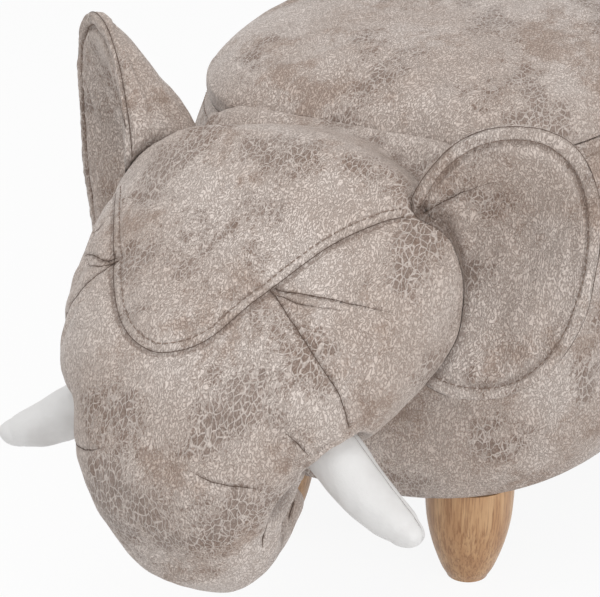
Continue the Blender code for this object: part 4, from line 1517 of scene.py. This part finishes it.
@dataclass
class Lid:
    """The padded lid: leather over foam, turned in under the board."""

    finishes: Finishes
    power: float = 2.6
    front_share: float = 0.92
    cover: float = 0.0012
    gap: float = 0.0003
    turn_in: float = 0.014
    lip: float = 0.0026
    overhang: float = 0.0018
    steps: int = 170
    front_steps: int = 44

    PROFILE = ((0.00, 0.000, 0.00), (0.12, -0.004, 0.00), (0.26, 0.012, 0.00), (0.50, 0.095, 0.06),
               (0.73, 0.270, 0.18), (0.91, 0.530, 0.42), (1.00, 0.820, 0.70), (1.015, 0.97, 0.85))
    LIP = ((0.0001, 0.85), (0.0005, 1.0), (0.0030, 1.0), (0.0060, 0.6))

    def __post_init__(self) -> None:
        """Takes its sizes from the frame."""
        low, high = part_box("lid_cover")
        body_low, body_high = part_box("body_cover")
        self.middle = (body_low.y + body_high.y) / 2
        self.half_x = high.x
        self.rear, self.front = high.y - self.middle, self.middle - low.y
        self.bottom, self.top = low.z, high.z
        self.edge_top = self.bottom + self.PROFILE[2][0] * (self.top - self.bottom)
        self.front_half = self.half_x * (1 - self.front_share ** self.power) ** (1 / self.power)

    def ring(self, half_x: float, rear: float, level: float, front: float) -> Array:
        """Returns a plan ring that is rounded at the rear and cut straight at the front."""
        corner = math.asin(self.front_share ** (self.power / 2))
        turn = np.linspace(-corner, math.pi + corner, self.steps + 1)
        half = np.where(np.sin(turn) > 0, rear, front / self.front_share)
        x = half_x * signed_power(np.cos(turn), 2 / self.power)
        y = half * signed_power(np.sin(turn), 2 / self.power)
        share = np.arange(1, self.front_steps) / self.front_steps
        x = np.concatenate([x, x[-1] + share * (x[0] - x[-1])])
        y = np.concatenate([y, y[-1] + share * (y[0] - y[-1])])
        return np.stack([x, y + self.middle, np.full(len(x), level)], axis=1)

    def inset_ring(self, inset: float, level: float) -> Array:
        """Returns the lid's edge ring set in by a distance."""
        return self.ring(self.half_x - inset, self.rear - inset, level, self.front - inset)

    def build(self) -> None:
        """Builds the lid's cushion and dresses it."""
        height = self.top - self.bottom
        rings = []
        for level, drawn, slope in curve_through(self.PROFILE, 0.022)[::-1]:
            inset = self.half_x * drawn
            rings.append(self.ring(self.half_x - inset, self.rear - inset, self.bottom + level * height,
                                   self.front + self.overhang - slope * self.half_x))
        rings += [self.inset_ring(inset, self.bottom - drop * self.lip) for inset, drop in self.LIP]
        rings += [self.inset_ring(inset, self.bottom) for inset in (0.009, self.turn_in)]
        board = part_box("lid_board")[1]
        edge = self.half_x - board.x - self.gap
        above, over = self.bottom + self.cover, board.z + self.gap
        rings += [self.inset_ring(self.turn_in, above), self.inset_ring(edge, above),
                  self.inset_ring(edge, over), self.inset_ring(self.half_x / 2, over)]
        piece = SoftPiece.from_rings("lid_cushion", rings)
        points = piece.points
        held = 1 - ramp(points[:, 2], self.bottom + 0.004, self.bottom + 0.026)
        front = self.middle - self.front
        held = np.maximum(held, 1 - ramp(points[:, 1], front, front + 0.045))
        inside = np.abs(points[:, 2] - board.z - self.gap) < 1e-4
        held = np.maximum(held, inside & (np.abs(points[:, 0]) < self.half_x - edge + 0.001))
        piece.stuff(1.5, 0.004, held, 0.01)
        piece.crumple(0.0015, 0.05, held)
        piece.refine()
        piece.dress(self.finishes.leather, Body.LID, Slot.LEATHER, ("lid_cover", "lid_foam"), fill=0.75)


@dataclass
class Tail:
    """The sewn tail, which hangs down the rear and ends in a flat tuft."""

    finishes: Finishes

    def build(self) -> None:
        """Builds the tail from its solid and dresses it."""
        piece = SoftPiece.from_nodes("tail_cover", "tail")
        piece.remesh(0.0022)
        piece.relax(6)
        piece.crumple(0.0008, 0.012)
        piece.refine()
        piece.dress(self.finishes.leather, Body.BASE, Slot.LEATHER, ("tail",), fill=0.8)


@dataclass
class Leg:
    """One turned leg."""

    name: str
    finishes: Finishes
    foot: float = 0.0150
    bore: float = 0.0043
    bore_depth: float = 0.0303
    top: float = 0.0315
    steps: int = 96

    SHAPE = ((0.0, 0.02), (0.28, 0.13), (0.66, 0.36), (0.90, 0.60), (0.99, 0.84), (1.0, 1.0))

    def build(self) -> None:
        """Builds the leg in place of its solid."""
        low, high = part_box(f"leg_{self.name}")
        middle = (low + high) / 2
        tall = high.z
        profile = [(0.0006, 0.0), (self.foot - 0.0014, 0.0), (self.foot - 0.0003, 0.0006)]
        profile += [(self.foot + (self.top - self.foot) * share, tall * level)
                    for share, level in curve_through(self.SHAPE, 0.03)]
        profile += [(self.top - 0.0006, tall), (self.bore, tall), (self.bore, tall - self.bore_depth),
                    (0.0004, tall - self.bore_depth)]
        turn = circle(self.steps)
        rings = [np.stack([middle.x + radius * np.cos(turn), middle.y + radius * np.sin(turn),
                           np.full(self.steps, level)], axis=1) for radius, level in profile]
        piece = SoftPiece.from_rings(f"turned_leg_{self.name}", rings)
        item = piece.item
        item.data.materials.append(self.finishes.oak)
        item.data.shade_smooth()
        item.data.set_sharp_from_angle(angle=math.radians(40))
        settle(item, Body.BASE, Slot.OAK, (f"leg_{self.name}",))


@dataclass
class Lining:
    """The cloth tub in the box, the cloth panel under the lid and the dust cloth under the base."""

    finishes: Finishes
    thickness: float = 0.0012
    gap: float = 0.0003
    hem: float = 0.012
    corner: float = 0.16
    steps: int = 160

    def build(self) -> None:
        """Builds the three cloths."""
        self.tub()
        self.lid_panel()
        self.dust_cloth()

    def ring(self, node: str, inset: float, level: float) -> Array:
        """Returns one ring of a cloth with small round corners.

        Args:
            node: The solid whose plan it follows.
            inset: Distance from that solid's sides.
            level: Height of the ring.
        """
        low, high = corners(node)
        turn = circle(self.steps, 0.5)
        plan = np.stack([signed_power(part, self.corner) for part in (np.cos(turn), np.sin(turn))], axis=1)
        plan = (low + high)[:2] / 2 + plan * ((high - low)[:2] / 2 - inset)
        return np.column_stack([plan, np.full(self.steps, level)])

    def tub(self) -> None:
        """Builds the sewn tub, a little slack on its walls and floor."""
        node, thick, off = "storage_lining", self.thickness, self.gap
        low, high = corners(node)
        size = high - low
        half, deep, floor = size[0] / 2, size[2], low[2]
        outer = [(half * share, floor) for share in np.linspace(0.9, 0.05, 8)]
        outer += [(off, floor + deep * share) for share in np.linspace(0.01, 1.0, 36)]
        inner = [(off + thick, floor + thick + (deep - thick) * share)
                 for share in np.linspace(1.0, 0.01, 36)]
        inner += [(half * share, floor + thick) for share in np.linspace(0.05, 0.9, 8)]
        piece = SoftPiece.from_rings("storage_tub", [self.ring(node, *place) for place in outer + inner])
        points = piece.points
        slack = dents(points, 0.05)
        inward = (low + high) / 2 - points
        inward[:, 2] = np.where(points[:, 2] < floor + 0.004, 1.0, 0.0)
        sag = 0.0011 * (1 + slack) * np.clip((high[2] - points[:, 2]) / 0.03, 0, 1)
        piece.points = points + unit(inward) * sag[:, None]
        self.settle(piece, Body.BASE, node)

    def lid_panel(self) -> None:
        """Builds the panel under the lid, with a turned and stitched hem."""
        node = "lid_lining"
        low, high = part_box(node)
        size = high - low
        cloth, lip = low.z + 0.45 * size.z, 0.0006
        middle = [size.x / 2 * share for share in np.linspace(0.95, 0.10, 10)]
        places = [(inset, cloth) for inset in middle]
        places += [(self.hem + lip, cloth), (self.hem, low.z), (lip, low.z), (0.0, low.z + 0.3 * size.z)]
        places += [(0.0, high.z - 0.3 * size.z), (lip, high.z)]
        places += [(inset, high.z) for inset in reversed(middle)]
        piece = SoftPiece.from_rings("lid_panel", [self.ring(node, *place) for place in places])
        work = Needlework("lid_panel", Body.LID, Slot.LINING, self.finishes.seam, self.finishes.thread)
        work.stitch(piece.line_from(closed(self.ring(node, 0.8 * self.hem, low.z))))
        work.finish()
        self.settle(piece, Body.LID, node)

    def dust_cloth(self) -> None:
        """Builds the thin cloth under the base, cut out for the legs' studs."""
        node = "dust_cover"
        piece = SoftPiece.from_nodes("dust_cloth", node)
        self.settle(piece, Body.BASE, node)

    def settle(self, piece: SoftPiece, body: Body, node: str) -> None:
        """Gives a cloth its finish and puts it in place of its solid."""
        piece.item.data.materials.append(self.finishes.lining)
        piece.item.data.shade_smooth()
        settle(piece.item, body, Slot.LINING, (node,))


@dataclass
class Studio:
    """The pale floor, the lights and the camera."""

    view: PhotoView
    sky: float = 0.52
    lift: float = 0.92
    floor_size: float = 8.0
    floor_colour: Colour = (0.88, 0.88, 0.88)

    WHITE = (1.0, 1.0, 1.0)
    LAMPS = (("top_light", (-0.3, -0.5, 1.9), 1.8, 16), ("right_light", (1.8, -1.2, 0.9), 1.6, 19),
             ("left_light", (-1.8, -1.6, 0.9), 1.3, 1))

    def build(self) -> None:
        """Sets the stage."""
        bpy.context.scene.view_settings.view_transform = "Standard"
        self.view.place_camera()
        self._floor()
        self._sky()
        for lamp in self.LAMPS:
            self._lamp(*lamp)

    @staticmethod
    def _seen(bench: Bench) -> Sock:
        """Is 1 for what the camera sees, straight or by way of a mirror or glass."""
        seen = bench.node("ShaderNodeLightPath", None, None, "Is Camera Ray")
        for ray in ("Is Glossy Ray", "Is Transmission Ray"):
            seen = bench.math("MAXIMUM", seen, bench.node("ShaderNodeLightPath", None, None, ray))
        return seen

    def _floor(self) -> None:
        """Makes the floor, which stays white to the camera and takes the pouf's shadow."""
        bm = bmesh.new()
        bmesh.ops.create_grid(bm, x_segments=2, y_segments=2, size=self.floor_size)
        mesh = bpy.data.meshes.new("floor")
        bm.to_mesh(mesh)
        bm.free()
        floor = stand("floor", mesh)
        floor.location.z = -0.0005
        bench = Bench("white_floor")
        plain = bench.node("ShaderNodeBsdfDiffuse", None, {"Color": self.floor_colour})
        glow = bench.node("ShaderNodeEmission", None, {"Color": self.WHITE, "Strength": 1.0})
        shares = {0: self._seen(bench) * self.lift, 1: plain, 2: glow}
        bench.end(bench.node("ShaderNodeMixShader", None, shares))
        mesh.materials.append(bench.owner)

    def _sky(self) -> None:
        """Makes an even sky that shows white."""
        bench = Bench("studio", "worlds")
        bpy.context.scene.world = bench.owner
        light, shown = (bench.node("ShaderNodeBackground", None, {"Color": self.WHITE, "Strength": strength})
                        for strength in (self.sky, 1.0))
        mixed = bench.node("ShaderNodeMixShader", None, {0: self._seen(bench), 1: light, 2: shown})
        bench.end(mixed, "ShaderNodeOutputWorld")

    @staticmethod
    def _lamp(name: str, place: tuple[float, float, float], size: float, power: float) -> None:
        """Adds a square lamp that faces the pouf."""
        data = bpy.data.lights.new(name, "AREA")
        data.size = size
        data.energy = power
        lamp = stand(name, data)
        lamp.location = place
        lamp.rotation_euler = (Vector((0, 0, 0.2)) - Vector(place)).to_track_quat("-Z", "Y").to_euler()


def dress_solids(finishes: Finishes) -> None:
    """Gives the solids that stay in view their finishes."""
    for name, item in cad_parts.items():
        material = finishes.steel
        if name.endswith(("_wall", "_board")):
            material = finishes.plywood
        item.data.materials.clear()
        item.data.materials.append(material)


def main() -> None:
    """Builds the pouf round its frame and sets the stage."""
    logging.basicConfig(level=logging.INFO, format="%(name)s: %(message)s")
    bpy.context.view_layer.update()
    view = PhotoView()
    finishes = Finishes()
    Studio(view).build()
    dress_solids(finishes)
    Shell(finishes).build()
    lid = Lid(finishes)
    lid.build()
    tusks = [Tusk("left", 1, finishes), Tusk("right", -1, finishes)]
    head = Head(view, finishes, lid, tusks)
    head.build()
    for tusk in tusks:
        tusk.build(head.piece)
    for side, name, sweep, wedge, lift in ((1, "left", 26, 2.2, 0.0), (-1, "right", 42, 3.0, 0.003)):
        Ear(name, side, math.radians(sweep), finishes, wedge=wedge, lift=lift).build(head.piece)
    Tail(finishes).build()
    for end in ("front", "rear"):
        for hand in ("left", "right"):
            Leg(f"{end}_{hand}", finishes).build()
    Lining(finishes).build()


if __name__ == "__main__":
    main()
